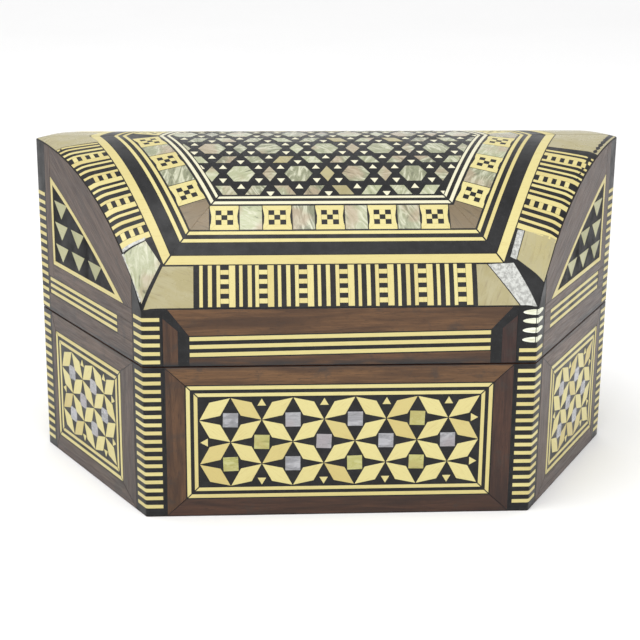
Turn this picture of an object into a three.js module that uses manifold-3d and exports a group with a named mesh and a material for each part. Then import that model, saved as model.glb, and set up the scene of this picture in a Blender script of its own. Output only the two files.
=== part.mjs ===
// A wind-up music box: a six-sided inlaid wooden box with a vaulted lid, a velvet-lined compartment, and an
// 18-note movement that a key under the floor winds and the lid stops. Millimetres, +Z up, front towards -Y.
import * as THREE from "three";
import { mergeVertices } from "three/addons/utils/BufferGeometryUtils.js";
import Module from "manifold-3d";

const wasm = await Module();
wasm.setup();

// ---- Driving dimensions -------------------------------------------------------------------------

// Box outside: a long hexagon with 120 degree corners.
const HALF_WIDTH = 76;
const HALF_DEPTH = 49.4;
const CORNER = Math.PI / 3;
const BASE_HEIGHT = 39;
const SEAM = 0.3;
const LID_WALL_HEIGHT = 14.7;
const VAULT_RISE = 31.4;

// Boards, veneers and the gap that glued or seated pieces keep. The thin wood veneer that brings the wall
// boards flush with the outline belongs to the finish, so the boards stand SKIN inside it.
const WALL = 6;
const FIT = 0.15;
const MITRE_GAP = 0.1;
const SKIN = 0.15;
const VENEER = 1.2;
const VAULT_BOARD = 4;
const FLOOR_UNDERSIDE = 12;
const FLOOR_BOARD = 3;

// Inlay panels: margins on a base wall, the triangle on a slanted lid wall, the middle field of the vault.
const PANEL_THICK = 1.2;
const PANEL_CORNER_MARGIN = 10.2;
const PANEL_FRONT_MARGIN = 12.4;
const PANEL_TIP_MARGIN = 7.5;
const PANEL_FOOT_MARGIN = 4.9;
const PANEL_SEAM_MARGIN = 4.8;
const TRIANGLE_TALL_MARGIN = 8;
const TRIANGLE_TIP_MARGIN = 9.5;
const TRIANGLE_FOOT_MARGIN = 13.7;
const TRIANGLE_CROWN_MARGIN = 9.1;
const TRIANGLE_BULGE = 1.2;
const FIELD_INSET = 28.4;
const FIELD_FRONT_SLOPE = 0.7;
const FIELD_END_SLOPE = 1.24;

// Compartments.
const PARTITION_X = -8;
const PARTITION = 2.5;
const LINING = 1.8;
const LINING_DROP = 1.2;
const CUSHION = 4;
const COVER = 1.5;
const COVER_DROP = 0.7;
const COVER_SCREW_RADIUS = 0.5;
const LEDGE_WIDTH = 2.6;
const LEDGE_HEIGHT = 2;
const LID_FRAME_WIDTH = 5.6;
const LID_FRAME_HEIGHT = 2.2;

// Hinge: a strip hinge whose barrel sits in a groove at the back edge, bevelled so that the lid stops open.
const HINGE_INSET = 2.2;
const HINGE_LENGTH = 60;
const HINGE_KNUCKLES = 5;
const KNUCKLE_RADIUS = 1.4;
const HINGE_PIN_RADIUS = 0.6;
const LEAF = 0.5;
const LEAF_WIDTH = 3.6;
const LEAF_GAP = 0.2;
const BEVEL_ANGLE = THREE.MathUtils.degToRad(50.5);
const HINGE_SCREW_OFFSET = 20;
const HINGE_SCREW_MARGIN = 1.1;
const HINGE_SCREW_HEAD = 0.95;
const HINGE_SCREW_SHANK = 0.45;
const HINGE_SCREW_LENGTH = 4;

// Movement: bedplate, and the cylinder's axis above it.
const MOVEMENT_END_GAP = 43;
const BED_WIDTH = 40;
const BED_FRONT = 26;
const BED_BACK = 25;
const BED = 2;
const BED_LIFT = 0.2;
const BED_SCREWS = [[14, 22], [14, -23.5]];
const BED_SCREW_RADIUS = 1;
const BED_SCREW_BITE = 1.2;
const AXIS_HEIGHT = 10.9;
const AXIS_X = -4;
const BEARING_HALF_WIDTH = 3;
const BEARING_THICK = 0.9;
const BEARING_CROWN = 2.6;
const ARBOR_RADIUS = 1;
const DRUM_RADIUS = 6.5;
const DRUM_START = -1.4;
const NOTES = 18;
const NOTE_PITCH = 0.94;
const PIN_HEIGHT = 0.7;
const TIP_CLEARANCE = 0.3;
const COMB_TOOTH = 8;
const COMB_BODY = 8;
const COMB_THICK = 1;
const COMB_SLOT = 0.26;
const COMB_SCREW_RADIUS = 0.8;
const COMB_SCREW_LENGTH = 5;
const COMB_SCREW_SHARE = 0.22;
const BOSS_MARGIN = 0.4;
const PINS_PER_NOTE = 3;
const PIN_ROOT = 0.18;
const PIN_TIP = 0.14;

// Spring barrel, its crown teeth and the pinion they drive.
const BARREL_RADIUS = 11.5;
const BARREL_WALL = 0.9;
const CROWN_TEETH = 40;
const PINION_TEETH = 10;
const CROWN_INSET = 1.1;
const CROWN_HEIGHT = 1.2;
const CROWN_DEPTH = 0.7;
const CROWN_HALF_FACE = 1;
const CROWN_HALF_TOOTH = 0.47;
const CROWN_TAPER = 0.2;
const BARREL_ROOF = 1.2;
const PINION_LENGTH = 2;
const PINION_DEDENDUM = 0.6;
const PINION_ADDENDUM = 0.45;
const MESH_OFFSET = 3.5;
const SPRING_TURNS = 5;
const SPRING_STRIP = 0.5;
const SPRING_MARGIN = 0.6;
const WINDING_RADIUS = 1.6;
const RATCHET_TEETH = 12;
const RATCHET_RADIUS = 5.5;
const RATCHET = 1;
const RATCHET_TOOTH = 1.1;
const RATCHET_TIP_TURN = 0.02;
const CLICK_PIVOT = [1.2, 4.6];
const CLICK_POST_RADIUS = 0.6;

// Train: cylinder gear, governor pinion and worm wheel, worm with its air brake.
const GEAR_TEETH = 40;
const GOVERNOR_TEETH = 10;
const GEAR_MODULE = 0.3;
const GEAR_THICK = 1;
const WHEEL_TEETH = 24;
const WORM_RADIUS = 1.0;
const FAN_RADIUS = 3;
const FAN_HEIGHT = 3.4;
const BRAKE_RADIUS = 2.2;
const BRAKE_THICK = 0.6;
const BRAKE_HEIGHT = 6.3;
const FAN_THICK = 0.4;
const FAN_LIFT = 1.5;
const WHEEL_OFFSET = 3.5;
const WHEEL_THICK = 0.8;
const GEAR_DEDENDUM = 0.36;
const GEAR_ADDENDUM = 0.23;
const WHEEL_DEDENDUM = 0.4;
const WHEEL_ADDENDUM = 0.2;
const GOVERNOR_ARBOR = 0.5;
const WORM_SHAFT = 0.45;
const WORM_TURNS = 3;
const WORM_CORE = 0.65;
const WORM_HALF_LENGTH = 1.9;
const WORM_SECTION = [[-0.4, 0.21], [0.36, 0.1], [0.36, -0.1], [-0.4, -0.21]];

// Governor frame: two cheeks, a foot and an arm.
const FRAME_LIFT = 0.2;
const FRAME_HEADROOM = 5.2;
const FRAME_BAR = 0.9;
const CHEEK = 0.8;
const CHEEK_NEAR_GAP = 1.2;
const CHEEK_FAR_GAP = 2.6;
const FRAME_MARGIN = 2;

// Key and stop.
const KEY_CLEARANCE = 1.4;
const KEY_SPAN = 21;
const KEY_THICK = 2;
const KEY_HUB = 3;
const KEY_HUB_TAPER = 0.8;
const KEY_HUB_LIFT = 0.6;
const KEY_SOCKET = 8.2;
const KEY_HALF_HEIGHT = 3.6;
const KEY_WAIST = 2;
const KEY_LUG = 2.4;
const PLUNGER_RADIUS = 0.7;
const PLUNGER_OFFSET = 12;
const LEVER_LENGTH = 22;
const LEVER_WALL_GAP = 3.9;
const LEVER_THICK = 0.8;
const LEVER_HALF_WIDTH = 0.5;
const LEVER_TIP = 1.4;
const LEVER_HEEL = 1.2;
const LEVER_PIVOT_RADIUS = 0.4;
const LEVER_PIVOT_LENGTH = 2.8;
const LEVER_CHEEK = 0.7;
const LEVER_CHEEK_GAP = 0.75;
const LEVER_CHEEK_HALF = 1.6;
const LEVER_ARM_REACH = 12;

// Clearances.
const RUNNING = 0.1;
const TOUCH = 0.3;

// How far a cutting shape runs past a face, and how far united shapes run into each other.
const PAST = 1;
const JOIN = 0.1;
const SEAT = 0.05;

// ---- Derived sizes ------------------------------------------------------------------------------

const HALF_FRONT = HALF_WIDTH - HALF_DEPTH / Math.tan(CORNER);
const LID_FOOT = BASE_HEIGHT + SEAM;
const LID_SPRING = BASE_HEIGHT + LID_WALL_HEIGHT;
const CREST = LID_SPRING + VAULT_RISE;
const VAULT_RADIUS = (HALF_DEPTH ** 2 + VAULT_RISE ** 2) / (2 * VAULT_RISE);
const VAULT_CENTRE = CREST - VAULT_RADIUS;
const CORE_RADIUS = VAULT_RADIUS - VENEER - FIT;
const FLOOR_TOP = FLOOR_UNDERSIDE + FLOOR_BOARD;
const HINGE_Y = HALF_DEPTH - HINGE_INSET;
const HINGE_Z = BASE_HEIGHT + SEAM / 2;
const COVER_TOP = BASE_HEIGHT - COVER_DROP;
const COVER_FOOT = COVER_TOP - COVER;
const LEDGE_TOP = COVER_FOOT - TOUCH;
const BED_FOOT = FLOOR_TOP + BED_LIFT;
const MOVEMENT_X = MOVEMENT_END_GAP - HALF_WIDTH;
const AXIS_Z = BED + AXIS_HEIGHT;
const CROWN_RADIUS = BARREL_RADIUS - CROWN_INSET;
const PINION_RADIUS = CROWN_RADIUS * PINION_TEETH / CROWN_TEETH;
const MESH_Y = DRUM_START + MESH_OFFSET;
const BARREL_Y = MESH_Y + CROWN_RADIUS;
const CROWN_PITCH_Z = AXIS_Z - PINION_RADIUS;
const CROWN_ROOT = CROWN_PITCH_Z - CROWN_DEPTH;
const RATCHET_FOOT = BED + TOUCH;
const BARREL_FOOT = RATCHET_FOOT + RATCHET + TOUCH;
const DRUM_LENGTH = NOTES * NOTE_PITCH;
const DRUM_END = DRUM_START - DRUM_LENGTH;
const GEAR_Y = DRUM_END - TOUCH - GEAR_THICK / 2;
const GEAR_RADIUS = GEAR_TEETH * GEAR_MODULE / 2;
const GOVERNOR_RADIUS = GOVERNOR_TEETH * GEAR_MODULE / 2;
const GOVERNOR_X = AXIS_X - GEAR_RADIUS - GOVERNOR_RADIUS;
const WHEEL_RADIUS = WHEEL_TEETH * GEAR_MODULE / 2;
const WHEEL_Y = GEAR_Y - WHEEL_OFFSET;
const WORM_X = GOVERNOR_X - WHEEL_RADIUS - WORM_RADIUS;
const COMB_TIP_X = AXIS_X + DRUM_RADIUS + PIN_HEIGHT + TIP_CLEARANCE;
const PLATE_NEAR = GEAR_Y - GEAR_THICK / 2 - CHEEK_NEAR_GAP;
const PLATE_FAR = WHEEL_Y - CHEEK_FAR_GAP;
const FRAME_FOOT = BED + FRAME_LIFT;
const FRAME_TOP = AXIS_Z + FRAME_HEADROOM;

// The stop lever runs along the front left wall, LEVER_WALL_GAP in from it, over the edge of the brake disc.
const WALL_NORMAL = new THREE.Vector2(-Math.sin(CORNER), -Math.cos(CORNER));
const WALL_ALONG = new THREE.Vector2(-Math.cos(CORNER), Math.sin(CORNER));
const LEVER_DISTANCE = HALF_WIDTH * Math.sin(CORNER) - WALL - LEVER_WALL_GAP;
const WORM_PLACE = new THREE.Vector2(MOVEMENT_X + WORM_X, WHEEL_Y);
const LEVER_TIP_ALONG = WORM_PLACE.dot(WALL_ALONG);
const BRAKE_TOP = BED_FOOT + BED + BRAKE_HEIGHT;
const LEVER_FOOT = BRAKE_TOP + TOUCH;

// ---- Materials ----------------------------------------------------------------------------------

function paint(color, roughness, metalness) {
  return new THREE.MeshStandardMaterial({ color, roughness, metalness });
}

const WALNUT = paint(0x5f3d2e, 0.45, 0);
const PLAIN_WOOD = paint(0x8a6a4a, 0.7, 0);
const INLAY = paint(0xb9b48a, 0.3, 0);
const VELVET = paint(0x7a1420, 0.95, 0);
const BRASS = paint(0xc9a14e, 0.3, 1);
const STEEL = paint(0xaab0b6, 0.3, 1);
const CLEAR = paint(0xdfe8ea, 0.05, 0);

// ---- Helpers ------------------------------------------------------------------------------------

function solid(geometry, matrix) {
  const bare = geometry.clone();
  bare.deleteAttribute("normal");
  bare.deleteAttribute("uv");
  if (matrix) bare.applyMatrix4(matrix);
  const merged = mergeVertices(bare, 1e-4);
  const vertProperties = Float32Array.from(merged.attributes.position.array);
  const triVerts = Uint32Array.from(merged.index.array);
  return new wasm.Manifold(new wasm.Mesh({ numProp: 3, vertProperties, triVerts }));
}

function geometryOf(shape) {
  const mesh = shape.getMesh();
  const indexed = new THREE.BufferGeometry();
  indexed.setAttribute("position", new THREE.BufferAttribute(Float32Array.from(mesh.vertProperties), 3));
  indexed.setIndex(new THREE.BufferAttribute(Uint32Array.from(mesh.triVerts), 1));
  const geometry = indexed.toNonIndexed();
  geometry.computeVertexNormals();
  return geometry;
}

function piece(name, shape, material) {
  const mesh = new THREE.Mesh(geometryOf(shape), material);
  mesh.name = name;
  return mesh;
}

function outline(points) {
  return new THREE.Shape(points.map(([x, y]) => new THREE.Vector2(x, y)));
}

// A flat outline in X and Y raised from z = low to z = high.
function prismGeometry(points, low, high) {
  const raised = new THREE.ExtrudeGeometry(outline(points), { depth: high - low, bevelEnabled: false });
  return raised.translate(0, 0, low);
}

function prism(points, low, high) {
  return solid(prismGeometry(points, low, high));
}

function box(x0, x1, y0, y1, z0, z1) {
  return prism([[x0, y0], [x1, y0], [x1, y1], [x0, y1]], z0, z1);
}

// An upright round bar; a second radius makes it a cone.
function rod(x, y, low, high, radius, topRadius = radius, sides = 24) {
  const bar = new THREE.CylinderGeometry(topRadius, radius, high - low, sides);
  bar.rotateX(Math.PI / 2).translate(x, y, (low + high) / 2);
  return solid(bar);
}

// A round bar lying along Y.
function axle(x, z, from, to, radius, sides = 24) {
  const bar = new THREE.CylinderGeometry(radius, radius, to - from, sides);
  return solid(bar.translate(x, (from + to) / 2, z));
}

// A round bar lying along X.
function spindle(y, z, from, to, radius, sides = 24) {
  const bar = new THREE.CylinderGeometry(radius, radius, to - from, sides);
  return solid(bar.rotateZ(Math.PI / 2).translate((from + to) / 2, y, z));
}

const joined = (first, ...rest) => rest.reduce((sum, next) => sum.add(next), first);
const cut = (first, ...rest) => rest.reduce((left, next) => left.subtract(next), first);

// ---- Plan and vault -----------------------------------------------------------------------------

// The hexagon's corners, set in from the outside faces: front left first, anticlockwise seen from above.
function hexagon(inset) {
  const depth = HALF_DEPTH - inset;
  const width = HALF_WIDTH - inset / Math.sin(CORNER);
  const front = width - depth / Math.tan(CORNER);
  return [[-front, -depth], [front, -depth], [width, 0], [front, depth], [-front, depth], [-width, 0]];
}

// A section in Y and Z drawn out along X past both ends of the box.
function lengthwise(section, y, z) {
  const length = 2 * (HALF_WIDTH + PAST);
  const bar = new THREE.ExtrudeGeometry(outline(section), { depth: length, bevelEnabled: false });
  return bar.applyMatrix4(new THREE.Matrix4().set(0, 0, 1, -length / 2, 1, 0, 0, y, 0, 1, 0, z, 0, 0, 0, 1));
}

// What lies under an arc of the vault, as long as the box.
function vaultGeometry(radius) {
  const steps = 36;
  const reach = Math.asin(Math.min(1, (HALF_DEPTH + PAST) / radius));
  const points = [];
  for (let step = 0; step <= steps; step += 1) {
    const angle = reach * (1 - 2 * step / steps);
    points.push([radius * Math.sin(angle), VAULT_CENTRE + radius * Math.cos(angle)]);
  }
  points.push([-radius * Math.sin(reach), 0], [radius * Math.sin(reach), 0]);
  return lengthwise(points.reverse(), 0, 0);
}

const vault = (radius) => solid(vaultGeometry(radius));

// The vault's middle field: a hexagon of constant inset along the curve, narrower than the box at its ends.
function fieldOutline(gap) {
  const edgeArc = VAULT_RADIUS * Math.asin(HALF_DEPTH / VAULT_RADIUS);
  const arc = edgeArc - FIELD_INSET - gap;
  const front = HALF_FRONT - FIELD_FRONT_SLOPE * (FIELD_INSET + gap);
  const width = HALF_WIDTH - FIELD_END_SLOPE * (FIELD_INSET + gap);
  const steps = 6;
  const slope = (from, to) => Array.from({ length: steps }, (_, step) => from + (to - from) * step / steps);
  const plan = (x, along) => [x, VAULT_RADIUS * Math.sin(along / VAULT_RADIUS)];
  const side = (xs, arcs) => xs.map((x, index) => plan(x, arcs[index]));
  return [
    plan(-front, -arc),
    ...side(slope(front, width), slope(-arc, 0)),
    ...side(slope(width, front), slope(0, arc)),
    plan(front, arc),
    ...side(slope(-front, -width), slope(arc, 0)),
    ...side(slope(-width, -front), slope(0, -arc)),
  ];
}

// ---- Walls --------------------------------------------------------------------------------------

const WALL_NAMES = ["front", "front_right", "back_right", "back", "back_left", "front_left"];
const SLANTED = ["front_right", "back_right", "back_left", "front_left"];

// Each wall has its own frame: x along its outside edge, y inwards, z up.
function wallFrame(index) {
  const corners = hexagon(0);
  const [x0, y0] = corners[index];
  const [x1, y1] = corners[(index + 1) % corners.length];
  const length = Math.hypot(x1 - x0, y1 - y0);
  const turn = Math.atan2(y1 - y0, x1 - x0);
  const matrix = new THREE.Matrix4().makeRotationZ(turn).setPosition(x0, y0, 0);
  return { x: x0, y: y0, length, turn, inverse: matrix.invert() };
}

function placedOnWall(mesh, frame) {
  mesh.position.set(frame.x, frame.y, 0);
  mesh.rotation.z = frame.turn;
  return mesh;
}

// A board with mitred ends, SKIN inside the outline.
function board(frame, low, high) {
  const run = (depth) => MITRE_GAP + depth / Math.tan(CORNER);
  const end = (depth) => frame.length - run(depth);
  return prism([[run(SKIN), SKIN], [end(SKIN), SKIN], [end(WALL), WALL], [run(WALL), WALL]], low, high);
}

// The bevels and the barrel groove along the back edge, in box coordinates.
function hingeGroove() {
  const back = HINGE_INSET + PAST;
  const rise = back * Math.tan(BEVEL_ANGLE);
  return lengthwise([[0, 0], [back, -rise], [back, rise]], HINGE_Y, HINGE_Z);
}

function hingeMortise(low, high) {
  const half = HINGE_LENGTH / 2 + FIT;
  const barrel = spindle(HINGE_Y, HINGE_Z, -half, half, KNUCKLE_RADIUS + TOUCH);
  return barrel.add(box(-half, half, HINGE_Y - LEAF_WIDTH - FIT, HINGE_Y, low, high));
}

// A wall's corners are numbered like the walls; the box's two ends are corners 2 and 5.
function panelMargins(index) {
  const atEnd = (corner) => corner % 3 === 2;
  if (!SLANTED.includes(WALL_NAMES[index])) return [PANEL_CORNER_MARGIN, PANEL_CORNER_MARGIN];
  return atEnd(index) ? [PANEL_TIP_MARGIN, PANEL_FRONT_MARGIN] : [PANEL_FRONT_MARGIN, PANEL_TIP_MARGIN];
}

// An inlay panel, or with a gap the recess it lies in.
function panelPlate(index, length, gap) {
  const [first, last] = panelMargins(index);
  const low = PANEL_FOOT_MARGIN - gap;
  const high = BASE_HEIGHT - PANEL_SEAM_MARGIN + gap;
  const lift = gap > 0 ? PAST : 0;
  return box(first - gap, length - last + gap, -lift, PANEL_THICK + gap, low, high);
}

function baseWall(index) {
  const frame = wallFrame(index);
  let shape = cut(board(frame, 0, BASE_HEIGHT), panelPlate(index, frame.length, FIT));
  if (WALL_NAMES[index].startsWith("back")) shape = shape.subtract(solid(hingeGroove(), frame.inverse));
  if (WALL_NAMES[index] === "back") {
    shape = cut(shape, ...inBackWall(hingeMortise(leafFoot(-1) - FIT, HINGE_Z), frame));
    shape = cut(shape, ...inBackWall(hingeScrewHoles(-1), frame));
  }
  return placedOnWall(piece(`base_wall_${WALL_NAMES[index]}`, shape, WALNUT), frame);
}

function basePanel(index) {
  const frame = wallFrame(index);
  return placedOnWall(piece(`base_panel_${WALL_NAMES[index]}`, panelPlate(index, frame.length, 0), INLAY), frame);
}

// Shapes made in box coordinates, turned into the back wall's frame.
function inBackWall(shape, frame) {
  return [solid(geometryOf(shape), frame.inverse)];
}

// The triangle on a slanted lid wall stands tall towards the box's end; its long edge bows like the vault.
function trianglePlate(index, gap) {
  const frame = wallFrame(index);
  const tallFirst = ["back_right", "front_left"].includes(WALL_NAMES[index]);
  const along = (x) => (tallFirst ? x : frame.length - x);
  const low = BASE_HEIGHT + TRIANGLE_FOOT_MARGIN - gap;
  const tall = TRIANGLE_TALL_MARGIN - gap;
  const tip = frame.length - TRIANGLE_TIP_MARGIN + 2 * gap;
  const high = CREST - TRIANGLE_CROWN_MARGIN + gap;
  const steps = 8;
  const points = [[along(tall), low], [along(tip), low]];
  for (let step = 1; step <= steps; step += 1) {
    const share = step / steps;
    const bow = TRIANGLE_BULGE * 4 * share * (1 - share);
    points.push([along(tip + (tall - tip) * share), low + (high - low) * share + bow]);
  }
  const lift = gap > 0 ? PAST : 0;
  const raised = new THREE.ExtrudeGeometry(outline(points),
    { depth: PANEL_THICK + gap + lift, bevelEnabled: false });
  return solid(raised.rotateX(Math.PI / 2).translate(0, PANEL_THICK + gap, 0));
}

function lidWall(index) {
  const name = WALL_NAMES[index];
  const frame = wallFrame(index);
  let shape = board(frame, LID_FOOT, CREST).intersect(solid(vaultGeometry(CORE_RADIUS), frame.inverse));
  if (SLANTED.includes(name)) shape = shape.subtract(trianglePlate(index, FIT));
  if (name.startsWith("back")) shape = shape.subtract(solid(hingeGroove(), frame.inverse));
  if (name === "back") {
    shape = cut(shape, ...inBackWall(hingeMortise(HINGE_Z, leafFoot(1) + LEAF + FIT), frame));
    shape = cut(shape, ...inBackWall(hingeScrewHoles(1), frame));
  }
  return placedOnWall(piece(`lid_wall_${name}`, shape, WALNUT), frame);
}

function lidPanel(index) {
  const frame = wallFrame(index);
  return placedOnWall(piece(`lid_panel_${WALL_NAMES[index]}`, trianglePlate(index, 0), INLAY), frame);
}

// ---- Lid top and linings ------------------------------------------------------------------------

function vaultBoard() {
  const block = prism(hexagon(WALL + FIT), LID_FOOT, CREST);
  const shell = cut(vault(CORE_RADIUS), vault(CORE_RADIUS - VAULT_BOARD));
  return piece("vault_board", block.intersect(shell), PLAIN_WOOD);
}

function vaultVeneer(plan) {
  return plan.intersect(cut(vault(VAULT_RADIUS), vault(VAULT_RADIUS - VENEER)));
}

function vaultBorder() {
  const ring = cut(prism(hexagon(0), LID_FOOT, CREST + PAST), prism(fieldOutline(0), 0, CREST + 2 * PAST));
  return piece("vault_border", vaultVeneer(ring), INLAY);
}

function vaultField() {
  return piece("vault_field", vaultVeneer(prism(fieldOutline(FIT), LID_FOOT, CREST + PAST)), INLAY);
}

// Velvet under the vault and down its walls, ending in a firm frame just above the seam.
function lidLining() {
  const ceiling = CORE_RADIUS - VAULT_BOARD - TOUCH;
  const outside = prism(hexagon(WALL + FIT), LID_FOOT, CREST).intersect(vault(ceiling));
  const frameTop = LID_FOOT + LID_FRAME_HEIGHT;
  const room = prism(hexagon(WALL + FIT + LINING), frameTop, CREST);
  const hollow = room.intersect(vault(ceiling - LINING));
  const mouth = prism(hexagon(WALL + LID_FRAME_WIDTH), LID_FOOT - PAST, frameTop + PAST);
  const lifted = box(-HALF_WIDTH, HALF_WIDTH, -HALF_DEPTH, HALF_DEPTH, LID_FOOT - PAST, LID_FOOT + FIT);
  const leafRoom = hingeMortise(HINGE_Z, leafFoot(1) + LEAF + FIT);
  return piece("lid_lining", cut(outside, hollow, mouth, lifted, leafRoom, hingeScrewHoles(1)), VELVET);
}

// The compartment right of the partition, or left of it, set in from its walls.
function compartment(side, inset, low, high) {
  const face = PARTITION_X + side * (PARTITION / 2 + inset);
  const far = side * HALF_WIDTH;
  const half = box(Math.min(face, far), Math.max(face, far), -HALF_DEPTH, HALF_DEPTH, low, high);
  return prism(hexagon(WALL + inset), low, high).intersect(half);
}

function compartmentLining() {
  const high = BASE_HEIGHT - LINING_DROP;
  const outside = compartment(1, FIT, FLOOR_TOP + FIT, high);
  const inside = compartment(1, FIT + LINING, FLOOR_TOP, high + PAST);
  return piece("compartment_lining", outside.subtract(inside), VELVET);
}

function cushion() {
  const low = FLOOR_TOP + FIT;
  return piece("compartment_cushion", compartment(1, 2 * FIT + LINING, low, low + CUSHION), VELVET);
}

// ---- Inside the base ----------------------------------------------------------------------------

// Upright holes of one size through everything between low and high.
function holes(places, low, high, radius) {
  return places.map(([x, y]) => rod(x, y, low - PAST, high + PAST, radius));
}

function floorBoard() {
  const plate = prism(hexagon(WALL + FIT), FLOOR_UNDERSIDE, FLOOR_TOP);
  const arbor = [[MOVEMENT_X + AXIS_X, BARREL_Y]];
  const screws = BED_SCREWS.map(([x, y]) => [MOVEMENT_X + x, y]);
  const [arborHole] = holes(arbor, FLOOR_UNDERSIDE, FLOOR_TOP, WINDING_RADIUS + 3 * RUNNING);
  const screwHoles = holes(screws, FLOOR_UNDERSIDE, FLOOR_TOP, BED_SCREW_RADIUS + RUNNING);
  return piece("floor_board", cut(plate, arborHole, ...screwHoles), PLAIN_WOOD);
}

function partition() {
  const half = PARTITION / 2 - FIT;
  const reach = HALF_DEPTH - WALL - FIT;
  const high = BASE_HEIGHT - LINING_DROP;
  const plank = box(PARTITION_X - half, PARTITION_X + half, -reach, reach, FLOOR_TOP + FIT, high);
  return piece("partition", plank, PLAIN_WOOD);
}

// Where the plunger rises beside the front left wall.
function alongLever(offset) {
  const spot = WALL_NORMAL.clone().multiplyScalar(LEVER_DISTANCE);
  return spot.addScaledVector(WALL_ALONG, LEVER_TIP_ALONG + offset);
}

function coverScrewPlaces() {
  const inset = WALL + FIT + LEDGE_WIDTH / 2 + TOUCH;
  const y = HALF_DEPTH - inset;
  return [[MOVEMENT_X, -y], [MOVEMENT_X, y]];
}

function coverLedge() {
  const foot = LEDGE_TOP - LEDGE_HEIGHT;
  const outside = compartment(-1, FIT, foot, LEDGE_TOP);
  const inside = compartment(-1, FIT + LEDGE_WIDTH, foot - PAST, LEDGE_TOP + PAST);
  const screwHoles = holes(coverScrewPlaces(), foot, LEDGE_TOP, COVER_SCREW_RADIUS + RUNNING);
  return piece("cover_ledge", cut(outside, inside, ...screwHoles), PLAIN_WOOD);
}

function movementCover() {
  const plate = compartment(-1, 2 * FIT, COVER_FOOT, COVER_TOP);
  const spot = alongLever(PLUNGER_OFFSET);
  const [plungerHole] = holes([[spot.x, spot.y]], COVER_FOOT, COVER_TOP, PLUNGER_RADIUS + RUNNING);
  const screwHoles = holes(coverScrewPlaces(), COVER_FOOT, COVER_TOP, COVER_SCREW_RADIUS + RUNNING);
  return piece("movement_cover", cut(plate, plungerHole, ...screwHoles), CLEAR);
}

// A cheese-head screw standing on its seat, with its slot.
function screw(x, y, seat, shank, radius, up = 1) {
  const head = 2 * radius;
  const thick = 0.5 * head;
  const low = up > 0 ? seat : seat - thick;
  const body = rod(x, y, low, low + thick, head, head, 16);
  const [stemLow, stemHigh] = up > 0 ? [seat - shank, seat + JOIN] : [seat - JOIN, seat + shank];
  const stem = rod(x, y, stemLow, stemHigh, radius, radius, 12);
  const slotLow = up > 0 ? seat + thick / 2 : seat - thick - PAST;
  const slot = box(x - head, x + head, y - head / 8, y + head / 8, slotLow, slotLow + PAST + thick / 2);
  return cut(joined(body, stem), slot);
}

function coverScrews() {
  const shank = COVER + LEDGE_HEIGHT;
  return coverScrewPlaces().map(([x, y], index) => piece(`cover_screw_${index + 1}`,
    screw(x, y, COVER_TOP + SEAT, shank, COVER_SCREW_RADIUS), BRASS));
}

// ---- Hinge --------------------------------------------------------------------------------------

// side -1 is the leaf on the base, side 1 the leaf in the lid.
function leafFoot(side) {
  return side < 0 ? HINGE_Z - LEAF_GAP / 2 - LEAF : HINGE_Z + LEAF_GAP / 2;
}

function hingeScrewPlaces() {
  const y = HINGE_Y - LEAF_WIDTH + HINGE_SCREW_MARGIN;
  return [[-HINGE_SCREW_OFFSET, y], [HINGE_SCREW_OFFSET, y]];
}

// A countersunk screw in a leaf; grown a little, the hole it sits in.
function countersunk(x, y, side, grow) {
  const face = side < 0 ? leafFoot(-1) + LEAF : leafFoot(1);
  const into = (depth) => face + side * depth;
  const sunk = (from, to, wide, narrow) => {
    const [low, high] = side < 0 ? [into(to), into(from)] : [into(from), into(to)];
    const [foot, top] = side < 0 ? [narrow, wide] : [wide, narrow];
    return rod(x, y, low, high, foot + grow, top + grow, 16);
  };
  const rim = grow > 0 ? -SEAT : SEAT;
  const flare = sunk(rim, LEAF, HINGE_SCREW_HEAD, HINGE_SCREW_SHANK);
  return flare.add(sunk(LEAF - JOIN, HINGE_SCREW_LENGTH + grow, HINGE_SCREW_SHANK, HINGE_SCREW_SHANK));
}

function hingeScrewHoles(side) {
  const [first, second] = hingeScrewPlaces();
  return countersunk(...first, side, RUNNING).add(countersunk(...second, side, RUNNING));
}

function hingeLeaf(side) {
  const foot = leafFoot(side);
  const half = HINGE_LENGTH / 2;
  const pitch = HINGE_LENGTH / HINGE_KNUCKLES;
  const clear = HINGE_Y - KNUCKLE_RADIUS - TOUCH;
  let leaf = box(-half, half, HINGE_Y - LEAF_WIDTH, clear, foot, foot + LEAF);
  for (let knuckle = 0; knuckle < HINGE_KNUCKLES; knuckle += 1) {
    const own = (knuckle % 2 === 0) === (side < 0);
    if (!own) continue;
    const from = -half + knuckle * pitch + (knuckle > 0 ? FIT : 0);
    const to = -half + (knuckle + 1) * pitch - (knuckle < HINGE_KNUCKLES - 1 ? FIT : 0);
    const tab = box(from, to, clear - JOIN, HINGE_Y, foot, foot + LEAF);
    leaf = joined(leaf, tab, spindle(HINGE_Y, HINGE_Z, from, to, KNUCKLE_RADIUS));
  }
  const bore = spindle(HINGE_Y, HINGE_Z, -half - PAST, half + PAST, HINGE_PIN_RADIUS + RUNNING);
  return cut(leaf, bore, hingeScrewHoles(side));
}

function hinge(side) {
  const owner = side < 0 ? "base" : "lid";
  const meshes = [piece(`hinge_${owner}_leaf`, hingeLeaf(side), BRASS)];
  hingeScrewPlaces().forEach(([x, y], index) => {
    meshes.push(piece(`hinge_${owner}_screw_${index + 1}`, countersunk(x, y, side, 0), BRASS));
  });
  return meshes;
}

function hingePin() {
  const half = HINGE_LENGTH / 2;
  return piece("hinge_pin", spindle(HINGE_Y, HINGE_Z, -half, half, HINGE_PIN_RADIUS, 16), STEEL);
}

// ---- Movement (its own frame: origin on the floor board, under the middle of the bedplate) ------

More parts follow.
